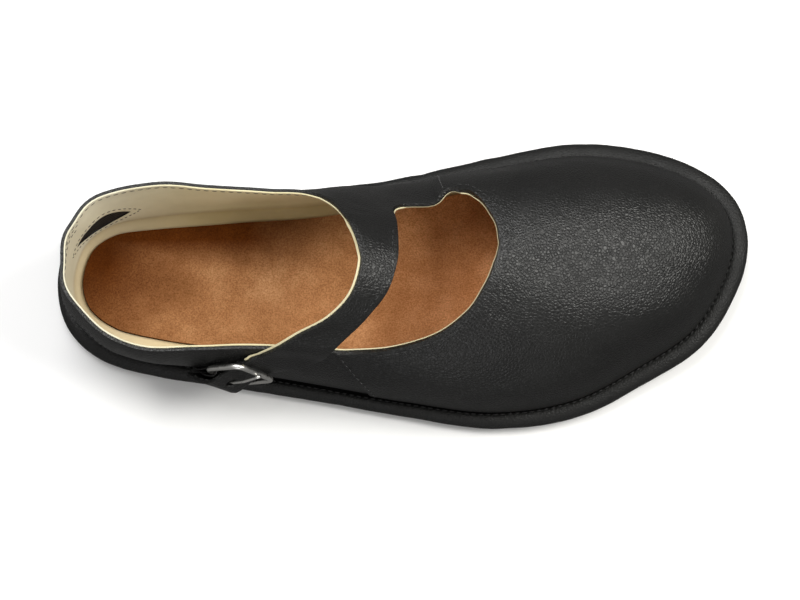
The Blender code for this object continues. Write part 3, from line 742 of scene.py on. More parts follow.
def combine(made, operation, first, second):
    node = add(made, "ShaderNodeMath", operation=operation)
    join(made, first, node.inputs[0])
    join(made, second, node.inputs[1])
    return node.outputs["Value"]


def tinted(made, source, colour):
    """A colour multiplied by another, channel by channel."""
    node = add(made, "ShaderNodeRGB")
    node.outputs["Color"].default_value = (*colour, 1)
    return blend(made, 1.0, source, node.outputs["Color"], "MULTIPLY")


def fade(made, axis, start, end, low=0.0, high=1.0):
    """A value that goes from low to high between two places along an axis of the shoe, in mm."""
    node = add(made, "ShaderNodeSeparateXYZ")
    join(made, place_coordinates(made), node.inputs["Vector"])
    return ranged(made, node.outputs[axis], start * MM, end * MM, low, high)


def feed(made, name, source):
    """Lead a value or a colour to one of the shader's sockets."""
    join(made, source, made.node_tree.nodes["Principled BSDF"].inputs[name])


def feed_roughness(made, texture, low, high):
    """Roughness that wanders with a noise, whose values lie mostly between 0.3 and 0.7."""
    feed(made, "Roughness", ranged(made, texture, 0.3, 0.7, low, high))


def relief(made, layers):
    """Bumps in a chain, from (height, strength, distance) layers."""
    below = None
    for height, strength, distance in layers:
        bump = add(made, "ShaderNodeBump")
        bump.inputs["Strength"].default_value = strength
        bump.inputs["Distance"].default_value = distance
        join(made, height, bump.inputs["Height"])
        if below:
            join(made, below, bump.inputs["Normal"])
        below = bump.outputs["Normal"]
    feed(made, "Normal", below)


def grained_leather(name, dark, light, roughness, shine):
    """Pebbled leather, a little paler and duller in patches."""
    made = new_finish(name, dark, roughness[1], sockets=[("Specular IOR Level", shine)])
    feed(made, "Base Color", ramp(made, cloudy(made, 30, 5.0), [(0.32, dark), (0.72, light)]))
    feed_roughness(made, cloudy(made, 75, 5.0), *roughness)
    relief(made, [(pebbled(made, 900), 0.495, 0.00022),
                  (cloudy(made, 900, 2.0), 0.405, 0.00020),
                  (cloudy(made, 120, 3.0), 0.10, 0.0003)])
    return made


def lining_leather():
    """Cream leather, greyer at the heel, and darkened brown by painted shade where the wall meets the
    footbed.
    """
    made = new_finish("lining_leather", (0.60, 0.50, 0.34), 0.8, sockets=[("Sheen Weight", 0.15)])
    patches = cloudy(made, 40, 4.0)
    heel = fade(made, "X", -68, -100)
    wall = blend(made, heel, ramp(made, patches, CREAM_AT_WAIST), ramp(made, patches, CREAM_AT_HEEL))
    # Painted shade in the crease: the lining is darker and browner below 16 mm, towards the footbed.
    painted_crease_shade = fade(made, "Z", 16.0, 11.5, high=0.60)
    feed(made, "Base Color", blend(made, painted_crease_shade, wall, tinted(made, wall, (0.62, 0.46, 0.28))))
    relief(made, [(cloudy(made, 700, 3.0), 0.3, 0.0002), (cloudy(made, 90, 3.0), 0.3, 0.0005)])
    return made


def suede():
    """Napped leather with fine fibres, darker at the heel from wear and painted shade, with a painted shadow
    of the medial wall along its medial side, and painted light that makes it paler in front.
    """
    made = new_finish("footbed_suede", (0.36, 0.17, 0.075), 0.95, sockets=[("Specular IOR Level", 0.08)])
    nap = cloudy(made, 55, 5.0, roughness=0.65)
    fibres = ramp(made, cloudy(made, 1700, 5.0, roughness=0.8), FIBRE_SHADES)
    colour = blend(made, 0.85, ramp(made, nap, SUEDE_BROWNS), fibres, "MULTIPLY")
    # Darker at the heel: partly wear, partly painted shade inside the heel walls.
    heel = combine(made, "MULTIPLY", fade(made, "X", -60, -106), fade(made, "Y", -24, 6, low=0.62))
    # Painted shadow of the medial wall, in a band along the footbed's medial side.
    side = combine(made, "MULTIPLY", fade(made, "X", -24, -56), fade(made, "Y", 3, 16))
    wear_and_wall_shadow = combine(made, "MAXIMUM", heel, side)
    darker = tinted(made, colour, (0.30, 0.17, 0.05))
    # Painted light: the front of the footbed, under the vamp's edge, is lightened against the shade that
    # falls there.
    painted_front_light = tinted(made, colour, (1.55, 1.42, 1.36))
    colour = blend(made, fade(made, "X", -22, 12), colour, painted_front_light)
    feed(made, "Base Color", blend(made, wear_and_wall_shadow, colour, darker))
    relief(made, [(cloudy(made, 900, 4.0, roughness=0.7), 0.5, 0.0003), (nap, 0.35, 0.0006)])
    return made


def tread_rubber():
    made = new_finish("tread_rubber", (0.014, 0.014, 0.015), 0.7)
    feed(made, "Base Color", ramp(made, cloudy(made, 60, 5.0), RUBBER_BLACKS))
    feed_roughness(made, cloudy(made, 210, 4.0), 0.58, 0.82)
    relief(made, [(cloudy(made, 1500, 2.0), 0.25, 0.0001)])
    return made


def ribbed_elastic():
    made = new_finish("ribbed_elastic", (0.008, 0.008, 0.009), 0.7, sockets=[("Specular IOR Level", 0.3)])
    threads = cloudy(made, 1700, 2.0, stretch=(0.2, 0.2, 1))
    feed(made, "Base Color", ramp(made, threads, WEBBING_BLACKS))
    relief(made, [(threads, 0.6, 0.0002)])
    return made


def silver():
    made = new_finish("buckle_silver", (0.74, 0.73, 0.70), 0.32, metallic=1.0)
    feed_roughness(made, cloudy(made, 420, 5.0, stretch=(1, 1, 3)), 0.24, 0.44)
    relief(made, [(cloudy(made, 300, 3.0), 0.12, 0.0002)])
    return made


def thread(name, colour):
    made = new_finish(name, colour, 0.7, sockets=[("Sheen Weight", 0.2)])
    relief(made, [(cloudy(made, 2600, 2.0), 0.5, 0.0001)])
    return made


# Shades over the values of a noise
CREAM_AT_WAIST = [(0.30, (0.60, 0.53, 0.31)), (0.55, (0.70, 0.63, 0.40)), (0.75, (0.76, 0.70, 0.48))]
CREAM_AT_HEEL = [(0.30, (0.58, 0.54, 0.40)), (0.55, (0.68, 0.64, 0.49)), (0.75, (0.74, 0.70, 0.56))]
SUEDE_BROWNS = [(0.30, (0.28, 0.124, 0.047)), (0.50, (0.38, 0.180, 0.077)), (0.70, (0.50, 0.262, 0.124))]
FIBRE_SHADES = [(0.38, (0.46, 0.39, 0.32)), (0.60, (1, 1, 1))]
RUBBER_BLACKS = [(0.3, (0.010, 0.010, 0.011)), (0.75, (0.030, 0.029, 0.028))]
WEBBING_BLACKS = [(0.3, (0.004, 0.004, 0.005)), (0.7, (0.016, 0.016, 0.017))]
WORN_BLACK = (0.0085, 0.0084, 0.0078)

LEATHER = grained_leather("black_leather", (0.0048, 0.0048, 0.0047), WORN_BLACK, (0.33, 0.45), 0.40)
RIM_LEATHER = grained_leather("rim_leather", (0.0042, 0.0042, 0.0041), WORN_BLACK, (0.50, 0.64), 0.34)
LINING_FINISH = lining_leather()
SUEDE = suede()
RUBBER = tread_rubber()
ELASTIC = ribbed_elastic()
BUCKLE_SILVER = silver()
TAUPE_THREAD = thread("taupe_thread", (0.13, 0.115, 0.085))
BLACK_THREAD = thread("black_thread", (0.0042, 0.0042, 0.0044))


# The upper

def fine_angles():
    """Angles round the upper, with marks at the seams and the strap's root."""
    marks = {row.angle for row in TOPLINE} | {360.0}
    marks |= {VAMP_START_ANGLE + SEAM_SPREAD, VAMP_END_ANGLE, VAMP_END_ANGLE - SEAM_SPREAD}
    marks = sorted(marks)
    angles = []
    for low, high in zip(marks, marks[1:]):
        run = max((edge_point(high) - edge_point(low)).length, (outline(high) - outline(low)).length)
        count = max(1, round(run / COLUMN_STEP))
        angles += [low + (high - low) * index / count for index in range(count)]
    return angles + [360]


def fine_levels():
    levels = [index / MARGIN_ROWS for index in range(MARGIN_ROWS + 1)]
    levels += [1 + (index + 1) / BEND_ROWS for index in range(BEND_ROWS)]
    return levels + [2 + (index + 1) / HIGH_ROWS for index in range(HIGH_ROWS)]


def strap_sections():
    """Lines across the strap's inner face, from the medial quarter to the tip."""
    sections = []
    for row in STRAP_BRIDGE:
        back, front = (Vector(((along - 0.5) * SOLE_LENGTH, across * BALL_WIDTH, height * INSTEP_HEIGHT))
                       for along, across, height in (row[:3], row[3:]))
        sections.append(partial(back.lerp, front))
    for row in SEAT_ON_QUARTER:
        sections.append(partial(seated, row))
    return sections


def seated(row, share):
    """A point across the seated stretch of the strap."""
    along = (row.back + (row.front - row.back) * share) * FRAME_LENGTH
    place = over_buckle if row.back == row.front else on_quarter
    return place(along, (share - 0.5) * STRAP_WIDTH, row.lift)


STRAP_SECTIONS = strap_sections()


def strap_path(share):
    """One line of the strap from its root on the quarter to the tip."""
    angle = STRAP_BACK_ANGLE + share * (STRAP_FRONT_ANGLE - STRAP_BACK_ANGLE)
    points = [upper_point(angle, 2.8), upper_point(angle, 3.0)]
    return points + [section(share) for section in STRAP_SECTIONS]


def run_marks(points):
    marks = [0.0]
    for first, second in zip(points, points[1:]):
        marks.append(marks[-1] + (second - first).length)
    return marks


STRAP_MARKS = run_marks(strap_path(0.5))


def strap_reader(share):
    """A point of the strap's inner face by its distance from the root, at one share of the width."""
    columns = list(zip(*strap_path(share)))
    return lambda at: Vector([smooth(STRAP_MARKS, column, STRAP_MARKS[1] + at) for column in columns])


STRAP_RUN_LENGTH = STRAP_MARKS[-1] - STRAP_MARKS[1]


def ease_root(bm):
    """Smooth the leather where the strap leaves the quarter, and the edges beside it a little."""
    root, rear = edge_point(STRAP_FRONT_ANGLE), edge_point(STRAP_BACK_ANGLE)
    inside = [vert for vert in bm.verts if not vert.is_boundary and (vert.co - root).length < ROOT_REACH]
    edges = [vert for vert in bm.verts if vert.is_boundary
             and min((vert.co - root).length, (vert.co - rear).length) < ROOT_REACH]
    for _ in range(EDGE_ROUNDS):
        moved = {}
        for vert in edges:
            beside = [edge.other_vert(vert).co for edge in vert.link_edges if edge.is_boundary]
            if len(beside) == 2:
                moved[vert] = vert.co.lerp((beside[0] + beside[1]) / 2, 0.5)
        for vert, place in moved.items():
            vert.co = place
    for _ in range(ROOT_ROUNDS):
        bmesh.ops.smooth_vert(bm, verts=inside, factor=0.5, use_axis_x=True, use_axis_y=True, use_axis_z=True)


def looks_to_toe(faces):
    """Whether the hindmost face looks forward, into the shoe."""
    return min(faces, key=lambda face: face.calc_center_median().x).normal.x > 0


def upper_face():
    """The inner face of the upper, with folds in it. Each vertex notes the thickness there, how freely the
    leather folds, how far the lining shows at an edge and how far along the strap it lies.
    """
    angles, levels = fine_angles(), fine_levels()
    bm = bmesh.new()
    wall, free, shown, tail = (bm.verts.layers.float.new(name) for name in ("wall", "free", "shown", "tail"))
    grid = mapped_grid(bm, len(angles) - 1, len(levels) - 1,
                       lambda column, row: upper_point(angles[column] % 360, levels[row]))
    for vert, column, row in grid:
        angle, level = angles[column] % 360, levels[row]
        cover = vamp_cover(angle, SEAM_SPREAD) * clamp(level - 1)
        vert[wall] = QUARTER_WALL + (VAMP_WALL - QUARTER_WALL) * cover
        vert[free] = clamp((level - 2) * 4)
        vert[shown] = SHOWN_AT_VAMP if VAMP_START_ANGLE < angle < VAMP_END_ANGLE else SHOWN_AT_QUARTER
        if abs(angle - VAMP_START_ANGLE) < FLAP_SPREAD:
            vert[shown] = HIDDEN
    readers = [strap_reader((angle - STRAP_BACK_ANGLE) / (STRAP_FRONT_ANGLE - STRAP_BACK_ANGLE))
               for angle in angles if STRAP_BACK_ANGLE <= angle <= STRAP_FRONT_ANGLE]
    rows = round(STRAP_RUN_LENGTH / STRAP_ROW)
    strap = mapped_grid(bm, len(readers) - 1, rows,
                        lambda column, row: readers[column](STRAP_RUN_LENGTH * row / rows))
    for vert, column, row in strap:
        vert[wall] = QUARTER_WALL
        vert[free] = 0.5
        vert[tail] = row / rows
        vert[shown] = SHOWN_BEHIND_STRAP if column == 0 and row < rows * STRAP_LINED else HIDDEN
    weld(bm)
    ease_root(bm)
    turn_faces(bm, looks_to_toe)
    bm.normal_update()
    shifts = [(vert, vert.normal * fold_depth(vert.co) * vert[free]) for vert in bm.verts]
    for vert, shift in shifts:
        vert.co += shift
    bm.normal_update()
    return bm


def note_wall(made, full):
    """Vertex group with each vertex's share of the full thickness."""
    group = made.vertex_groups.new(name="leather")
    walls = made.data.attributes["wall"].data
    for vert, note in zip(made.data.vertices, walls):
        group.add([vert.index], (note.value - LINING) / full, "REPLACE")


def show_lining(bm):
    """Move the lining's upper edges out past the leather's by their own share, or back under them."""
    shown, tail = bm.verts.layers.float["shown"], bm.verts.layers.float["tail"]
    shifts = []
    for vert in bm.verts:
        beside = [vert.co - edge.other_vert(vert).co for edge in vert.link_edges if not edge.is_boundary]
        if vert.is_boundary and beside and vert.co.z > 20 * MM:
            shifts.append((vert, sum(beside, Vector()).normalized() * EDGE_SHOW * vert[shown]))
    for vert, shift in shifts:
        vert.co += shift
    for face in bm.faces:
        if min(vert[tail] for vert in face.verts) > STRAP_LINED - 0.02:
            face.material_index = 1


def build_upper():
    """Black leather outside and cream lining inside, each a shell of its own thickness."""
    face = upper_face()
    inner = face.copy()
    for vert in face.verts:
        vert.co += vert.normal * LINING * 0.96
    leather = piece("upper_leather", face, [LEATHER], recalculate=False)
    note_wall(leather, VAMP_WALL - LINING)
    thicken(leather, VAMP_WALL - LINING, 1, "leather")
    round_edges(leather, LEATHER_ROUNDING, 2, 55)
    show_lining(inner)
    lining = piece("upper_lining", inner, [LINING_FINISH, LEATHER], recalculate=False)
    thicken(lining, LINING, 1)
    cutters = [window_prism("window_" + side, window) for side, window in WINDOWS.items()]
    cutters.append(strap_hole())
    for made in (leather, lining):
        for cutter in cutters:
            cut(made, cutter)
        freeze(made)
        made.data.shade_smooth()
    for cutter in cutters:
        bpy.data.objects.remove(cutter, do_unlink=True)
    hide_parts("upper")
    return leather, lining


WindowSeat = namedtuple("WindowSeat", "centre normal fore rise angle level")


def window_seat(window):
    """Middle of a window on the inner face, with its directions out, along and up."""
    def residual(a, b):
        return outer_point(a, b).z - window.height, (a - window.angle) * MM
    angle, level = solve_on_wall(residual, window.angle, 2.45)
    normal = upper_normal(angle, level)
    fore = UP.cross(normal).normalized()
    return WindowSeat(upper_point(angle, level), normal, fore, normal.cross(fore), angle, level)


def lens(turn, half_length, half_height):
    """Along and up on a lens, from one tip over the top (0 to 1) and back below (1 to 2)."""
    side = 1 if turn < 1 else -1
    place = 1 - 2 * (turn % 1)
    return side * place * half_length, side * (1 - place * place) * half_height


def window_prism(name, window):
    """A lens-shaped prism through the wall at the side of the heel."""
    seat = window_seat(window)
    bm = bmesh.new()
    verts = []
    for index in range(2 * WINDOW_ARC_STEPS):
        along, up = lens(index / WINDOW_ARC_STEPS, WINDOW_LENGTH / 2, WINDOW_HEIGHT / 2)
        verts.append(bm.verts.new(seat.centre + seat.fore * along + seat.rise * up
                                  - seat.normal * WINDOW_REACH))
    wall = bmesh.ops.extrude_face_region(bm, geom=[bm.faces.new(verts)])
    top = [item for item in wall["geom"] if isinstance(item, bmesh.types.BMVert)]
    bmesh.ops.translate(bm, verts=top, vec=seat.normal * 2 * WINDOW_REACH)
    return piece(name, bm, [LEATHER])


def strap_hole():
    """Round hole through the strap for the prong."""
    bm = bmesh.new()
    turn = SEAT_NORMAL.to_track_quat("Z", "Y").to_matrix().to_4x4()
    turn.translation = on_quarter(FRAME_LENGTH * HOLE_PLACE, 0, HOLE_HEIGHT)
    bmesh.ops.create_cone(bm, cap_ends=True, segments=HOLE_SIDES, radius1=STRAP_HOLE / 2,
                          radius2=STRAP_HOLE / 2, depth=HOLE_DEPTH, matrix=turn)
    return piece("strap_hole", bm, [LEATHER])


def on_lens(seat, along, up, lift):
    """A point of the wall beside a window's middle, lifted outward from the inner face."""
    flat = seat.centre + seat.fore * along + seat.rise * up
    foot = foot_on_wall(upper_point, flat, seat.fore, seat.rise, seat.angle, seat.level)
    return upper_point(*foot) + upper_normal(*foot) * lift


def build_elastic(side, window):
    """A lens of ribbed webbing in the middle of the wall, a little under the window's edge."""
    seat = window_seat(window)
    half_length, half_height = WINDOW_LENGTH / 2 - GAP * 1.6, WINDOW_HEIGHT / 2 - GAP
    middle = (QUARTER_WALL - ELASTIC_THICKNESS) / 2

    def place(column, row):
        share = 2 * column / WEBBING_COLUMNS - 1
        up = (2 * row / WEBBING_ROWS - 1) * (1 - share * share) * half_height
        rib = 0.5 + 0.5 * math.cos(2 * math.pi * up / RIB_PITCH)
        return on_lens(seat, share * half_length, up, middle + RIB_RELIEF * rib)

    bm = bmesh.new()
    mapped_grid(bm, WEBBING_COLUMNS, WEBBING_ROWS, place)
    weld(bm)
    turn_faces(bm, lambda faces: sum(face.normal.dot(seat.normal) for face in faces) < 0)
    made = piece("elastic_" + side, bm, [ELASTIC], recalculate=False)
    thicken(made, ELASTIC_THICKNESS - 0.2 * MM, 1)
    freeze(made)
    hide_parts("heel_elastic_" + side)


# Sole

def fixed(distance):
    return lambda angle: distance


def beside_groove(distance):
    """So far outside the groove between rim and upper."""
    return lambda angle: groove(angle) - distance


def rolled(share):
    """Distance on the rim's upper half, as a share of the way from the outline to the roll's top."""
    return lambda angle: (groove(angle) - RIM_ROLL) * share


def plan_sheet(bm, columns, rows, edge, height):
    """A sheet across the sole between its medial and lateral edges, closed at heel and toe."""
    def place(column, row):
        angle = 180 * column / columns
        medial, lateral = (inset(at, edge(at), height) for at in (angle, (360 - angle) % 360))
        return lateral.lerp(medial, row / rows)
    mapped_grid(bm, columns, rows, place)
    weld(bm)


def rim_profile(ceiling, recess):
    """Section of the rim from the tread's recess over the roll into the groove: insets and heights."""
    middle = (RIM_CLEARANCE + MIDSOLE_TOP + RIM_BEAD) / 2
    half_height = (MIDSOLE_TOP + RIM_BEAD - RIM_CLEARANCE) / 2
    profile = [(fixed(recess + MIDSOLE_OVERLAP), ceiling), (fixed(recess), ceiling),
               (fixed(recess), RIM_CLEARANCE)]
    for turn in range(0, 181, RIM_STEP):
        swing = math.radians(turn)
        share = 1 - math.sin(swing)
        distance = fixed((RIM_WIDTH - RIM_ROLL) * share) if turn <= 90 else rolled(share)
        profile.append((distance, middle - half_height * math.cos(swing)))
    crown = middle + half_height
    profile += [(beside_groove(distance), crown - depth) for distance, depth in GROOVE_PROFILE]
    return profile + [(beside_groove(0), GROOVE_FLOOR),
                      (beside_groove(-MIDSOLE_OVERLAP), GROOVE_FLOOR + 0.05 * MM)]


def wrinkle(angle, share, point):
    """Creases that run aslant over the rim, deepest at the medial arch, and a slight unevenness."""
    arch = math.exp(-((angle - ARCH_ANGLE) / ARCH_SPREAD) ** 2)
    slant = point.x / CREASE_RUN + share * CREASE_SLANT
    ripple = 0.5 + 0.5 * math.sin(slant + 2.5 * noise.noise(point * 90))
    uneven = noise.noise(point * 60) * 0.14 + noise.noise(point * 260) * 0.07
    on_rim = clamp((share - 0.15) * 6) * clamp((0.86 - share) * 6)
    return point + outward(angle) * (uneven - (0.30 * arch + 0.05) * ripple) * on_rim * MM


def build_midsole():
    """The rim wrapped in leather, drawn into a seam groove beside the upper, and the core inside it."""
    recess = TREAD_INSET - 1.0 * MM
    ceiling = TREAD_THICKNESS + GAP
    profile = rim_profile(ceiling, recess)
    last_row = len(profile) - 1

    def place(column, row):
        angle = column * RIM_ANGLE_STEP % 360
        distance, height = profile[row]
        return wrinkle(angle, row / last_row, inset(angle, distance(angle), height))

    bm = bmesh.new()
    mapped_grid(bm, round(360 / RIM_ANGLE_STEP), last_row, place)
    weld(bm)
    made = piece("wrapped_rim", bm, [RIM_LEATHER])
    core = bmesh.new()
    plan_sheet(core, *CORE_GRID, fixed(recess + 5.5 * MM), ceiling - 0.05 * MM)
    block = piece("midsole_core", core, [RIM_LEATHER])
    thicken_sheet(block, MIDSOLE_TOP - ceiling - 0.3 * MM, upward=True)
    freeze(block)
    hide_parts("wrapped_midsole")
    return made


def build_insole():
    """The footbed with a soft edge."""
    top = MIDSOLE_TOP + GAP + INSOLE_THICKNESS
    bm = bmesh.new()
    plan_sheet(bm, *FOOTBED_GRID, lambda angle: insole_inset(angle) * BALL_WIDTH, top)
    bm.normal_update()
    for vert in bm.verts:
        vert.co.z += 0.12 * MM * noise.noise(vert.co * 55)
    made = piece("footbed", bm, [SUEDE])
    thicken_sheet(made, INSOLE_THICKNESS - 0.1 * MM, upward=False)
    round_edges(made, FOOTBED_ROUNDING, 3, 50)
    freeze(made)
    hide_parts("insole")


def build_tread():
    """The tread plate with a fine waffle of raised cells under it."""
    bm = bmesh.new()
    plan_sheet(bm, *TREAD_GRID, fixed(TREAD_INSET), TREAD_RELIEF)
    plate = piece("tread_plate", bm, [RUBBER])
    thicken_sheet(plate, TREAD_THICKNESS - TREAD_RELIEF, upward=True)
    round_edges(plate, TREAD_ROUNDING, 2, 50)
    freeze(plate)
    cells = bmesh.new()
    along, across = round(SOLE_LENGTH / TREAD_CELL), round(BALL_WIDTH / TREAD_CELL)
    bmesh.ops.create_grid(cells, x_segments=along, y_segments=across, size=1)
    bmesh.ops.scale(cells, verts=cells.verts, vec=(SOLE_LENGTH / 2, BALL_WIDTH / 2, 1))
    outside = [face for face in cells.faces if not on_tread(face.calc_center_median())]
    bmesh.ops.delete(cells, geom=outside, context="FACES")
    bmesh.ops.reverse_faces(cells, faces=cells.faces)
    cells.normal_update()
    bmesh.ops.inset_individual(cells, faces=cells.faces, thickness=TREAD_SLOPE, depth=TREAD_RELIEF)
    for vert in cells.verts:
        vert.co.z += TREAD_RELIEF + spring(vert.co.x)
    waffle = piece("tread_waffle", cells, [RUBBER], recalculate=False)
    waffle.data.shade_flat()
    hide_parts("outsole")


OUTLINE_RING = [outline(angle) for angle in range(0, 360, 3)]


def on_tread(point):
    """Whether a tread cell lies well inside the plate."""
    share = clamp(point.x / SOLE_LENGTH + 0.5)
    angle = math.degrees(math.acos(1 - 2 * share))
    near = min((mark - point).length for mark in OUTLINE_RING)
    return outline(360 - angle).y < point.y < outline(angle).y and near > TREAD_INSET + TREAD_CELL


# Stitching

def march(line, start, end, pitch):
    """Places at even distances along a line, each with the direction there."""
    steps = 400
    keys = [start + (end - start) * index / steps for index in range(steps + 1)]
    points = [line(key) for key in keys]
    places = []
    travelled, wanted = 0.0, pitch / 2
    for first, second in zip(points, points[1:]):
        run = (second - first).length
        while run and travelled + run >= wanted:
            places.append((first.lerp(second, (wanted - travelled) / run), (second - first).normalized()))
            wanted += pitch
        travelled += run
    return places


def surface_of(made):
    return BVHTree.FromObject(made, bpy.context.evaluated_depsgraph_get())


def sew(name, places, surface, finish, length=STITCH_LENGTH, width=THREAD, sink=0.1):
    """A short thread at each place, laid on the surface."""
    bm = bmesh.new()
    for point, along in places:
        spot, up, _, _ = surface.find_nearest(point)
        side = up.cross(along).normalized()
        run = side.cross(up)
        turn = Matrix((run * length / 2, side * width / 2, up * width / 2)).transposed().to_4x4()
        turn.translation = spot + up * width * sink
        bmesh.ops.create_icosphere(bm, subdivisions=1, radius=1, matrix=turn)
    made = piece(name, bm, [finish])
    return made


def below_edge(angle, distance):
    """Level of the wall that far below its edge."""
    level, travelled = 3.0, 0.0
    here = upper_point(angle, level)
    while travelled < distance and level > 2.1:
        level -= 0.012
        there = upper_point(angle, level)
        travelled += (there - here).length
        here = there
    return level


def round_window(seat, lift, turn):
    """A point on the lens that the stitches beside a window's edge follow."""
    along, up = lens(turn, WINDOW_LENGTH / 2 + WINDOW_SEAM_ALONG, WINDOW_HEIGHT / 2 + WINDOW_SEAM_UP)
    return on_lens(seat, along, up, lift)


def below(face, distance, angle):
    """A point on a face of the wall, that far below its edge."""
    return face(angle % 360, below_edge(angle % 360, distance))


def stitch_upper(leather, lining):
    inside, outside = surface_of(lining), surface_of(leather)
    collar = march(partial(below, upper_point, COLLAR_SEAM), *COLLAR_SEAM_ANGLES, STITCH_PITCH)
    sew("collar_stitches_inside", collar, inside, TAUPE_THREAD)
    throat = march(partial(below, outer_point, THROAT_SEAM), *THROAT_SEAM_ANGLES, STITCH_PITCH)
    sew("throat_stitches", throat, outside, BLACK_THREAD)
    heel_rows = []
    for distance in HEEL_SEAMS:
        heel_rows += march(partial(below, upper_point, distance), *HEEL_SEAM_ANGLES, HEEL_STITCH_PITCH)
    sew("heel_stitches", heel_rows, inside, TAUPE_THREAD, length=HEEL_STITCH_LENGTH)
    for side, window in WINDOWS.items():
        seat = window_seat(window)
        for where, surface, lift, finish in (("inside", inside, 0, TAUPE_THREAD),
                                             ("outside", outside, QUARTER_WALL, BLACK_THREAD)):
            line = march(partial(round_window, seat, lift), *WINDOW_SEAM_TURNS, WINDOW_STITCH_PITCH)
            sew(f"window_stitches_{where}_{side}", line, surface, finish,
                length=WINDOW_STITCH_LENGTH)
    seam_rows = []
    for angle in (VAMP_START_ANGLE + VAMP_SEAM_ANGLE, VAMP_END_ANGLE - VAMP_SEAM_ANGLE):
        seam_rows += march(partial(outer_point, angle), *VAMP_SEAM_LEVELS, STITCH_PITCH)
    sew("vamp_seam_stitches", seam_rows, outside, BLACK_THREAD)
    edges = []
    for share in STRAP_SEAM_SHARES:
        reader = strap_reader(share)
        edges += march(lambda at, reader=reader: reader(at) + UP * QUARTER_WALL,
                       STRAP_SEAM_START, STRAP_RUN_LENGTH - STRAP_SEAM_END, STITCH_PITCH)
    sew("strap_stitches", edges, outside, BLACK_THREAD)


def stitch_rim(rim):
    height = MIDSOLE_TOP + RIM_SEAM_HEIGHT
    line = march(lambda angle: inset(angle % 360, groove(angle % 360) - RIM_SEAM, height),
                 0, 360, RIM_STITCH_PITCH)
    sew("rim_stitches", line, surface_of(rim), BLACK_THREAD,
        length=RIM_STITCH_LENGTH, width=RIM_THREAD)


# Buckle

def wire(name, points, radius, cyclic):
    """Round silver wire along the points, as a mesh."""
    curve = bpy.data.curves.new(name, "CURVE")
    curve.dimensions = "3D"
    curve.bevel_depth = radius
    curve.bevel_resolution = 5
    curve.use_fill_caps = True
    spline = curve.splines.new("POLY")
    spline.points.add(len(points) - 1)
    for target, point in zip(spline.points, points):
        target.co = (*point, 1)
    spline.use_cyclic_u = cyclic
    drawn = bpy.data.objects.new(name + "_line", curve)
    bpy.context.scene.collection.objects.link(drawn)
    bpy.context.view_layer.update()
    bm = bmesh.new()
    bm.from_mesh(bpy.data.meshes.new_from_object(drawn.evaluated_get(bpy.context.evaluated_depsgraph_get())))
    bpy.data.objects.remove(drawn, do_unlink=True)
    weld(bm)
    return piece(name, bm, [BUCKLE_SILVER])


def build_hoop():
    """The frame: a rectangle of wire with round corners."""
    centre = (HINGE + FREE_BAR) / 2
    along = (HINGE - FREE_BAR).normalized()
    half_length = (HINGE - FREE_BAR).length / 2 - FRAME_CORNER
    half_width = FRAME_WIDTH / 2 - FRAME_CORNER
    points = []
    for quarter, (run, side) in enumerate(((1, 1), (-1, 1), (-1, -1), (1, -1))):
        corner = centre + along * run * half_length + STRAP_SIDE * side * half_width
        for step in range(10):
            turn = math.radians(90 * quarter + 10 * step)
            points.append(corner + (along * math.cos(turn) + STRAP_SIDE * math.sin(turn)) * FRAME_CORNER)
    hoop = wire("buckle_hoop", points, FRAME_WIRE * HOOP_FULLNESS, True)
    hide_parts("buckle_frame")


def build_prong():
    """The pin: an eye round the rear bar, and a stem that runs through the strap to the free bar."""
    eye = FRAME_WIRE / 2 + EYE_GAP + PRONG_WIRE / 2
    line = []
    for step in range(25):
        turn = math.radians(125 - 12.7 * step)
        line.append(HINGE + STRAP_RUN * eye * math.cos(turn) + SEAT_NORMAL * eye * math.sin(turn))
    line += [HINGE.lerp(FREE_BAR, share) + SEAT_NORMAL * eye * lift for share, lift in PRONG_LINE]
    prong = wire("buckle_pin", line, PRONG_WIRE / 2, False)
    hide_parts("buckle_prong")


def tab_section():
    """The tab's inner face beside the buckle: places along the strap, and lifts."""
    wrap = FRAME_WIRE / 2 + GAP
    bar = FRAME_LENGTH / 2
    under = TAB_LIFT + TAB_THICKNESS
    section = [(bar + TAB_LENGTH * share, under) for share in (1.0, 0.85, 0.7, 0.55)]
    section.append((bar + TAB_JOIN, under))
    for step in range(17):
        turn = math.radians(-90 - 11.25 * step)
        section.append((bar + wrap * math.cos(turn), HINGE_LIFT + wrap * math.sin(turn)))
    section.append((bar + 2.6 * MM, HINGE_LIFT + wrap * 0.62))
    section.append((bar + TAB_JOIN, under + 0.8 * MM))
    return section


def lowest_looks_out(faces):
    """Whether the face nearest to the quarter looks away from it."""
    lowest = min(faces, key=lambda face: (face.calc_center_median() - HINGE).dot(SEAT_NORMAL))
    return lowest.normal.dot(SEAT_NORMAL) > 0


def build_tab():
    """The leather loop that holds the buckle, with a slot for the pin."""
    section = tab_section()
    half = [TAB_SLOT / TAB_WIDTH / 2, *TAB_SHARES]
    shares = [-share for share in reversed(half)] + half
    bm = bmesh.new()
    mapped_grid(bm, len(shares) - 1, len(section) - 1,
                lambda column, row: over_buckle(section[row][0], shares[column] * TAB_WIDTH, section[row][1]))
    opening = []
    for face in bm.faces:
        middle = face.calc_center_median() - HINGE
        if abs(middle.dot(STRAP_SIDE)) < TAB_SLOT / 4 and middle.dot(STRAP_RUN) < 4 * MM:
            opening.append(face)
    bmesh.ops.delete(bm, geom=opening, context="FACES")
    turn_faces(bm, lowest_looks_out)
    made = piece("buckle_loop", bm, [LEATHER], recalculate=False)
    thicken(made, TAB_THICKNESS, 1)
    round_edges(made, TAB_ROUNDING, 2, 50)
    freeze(made)
    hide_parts("buckle_tab")


# Floor, light and camera

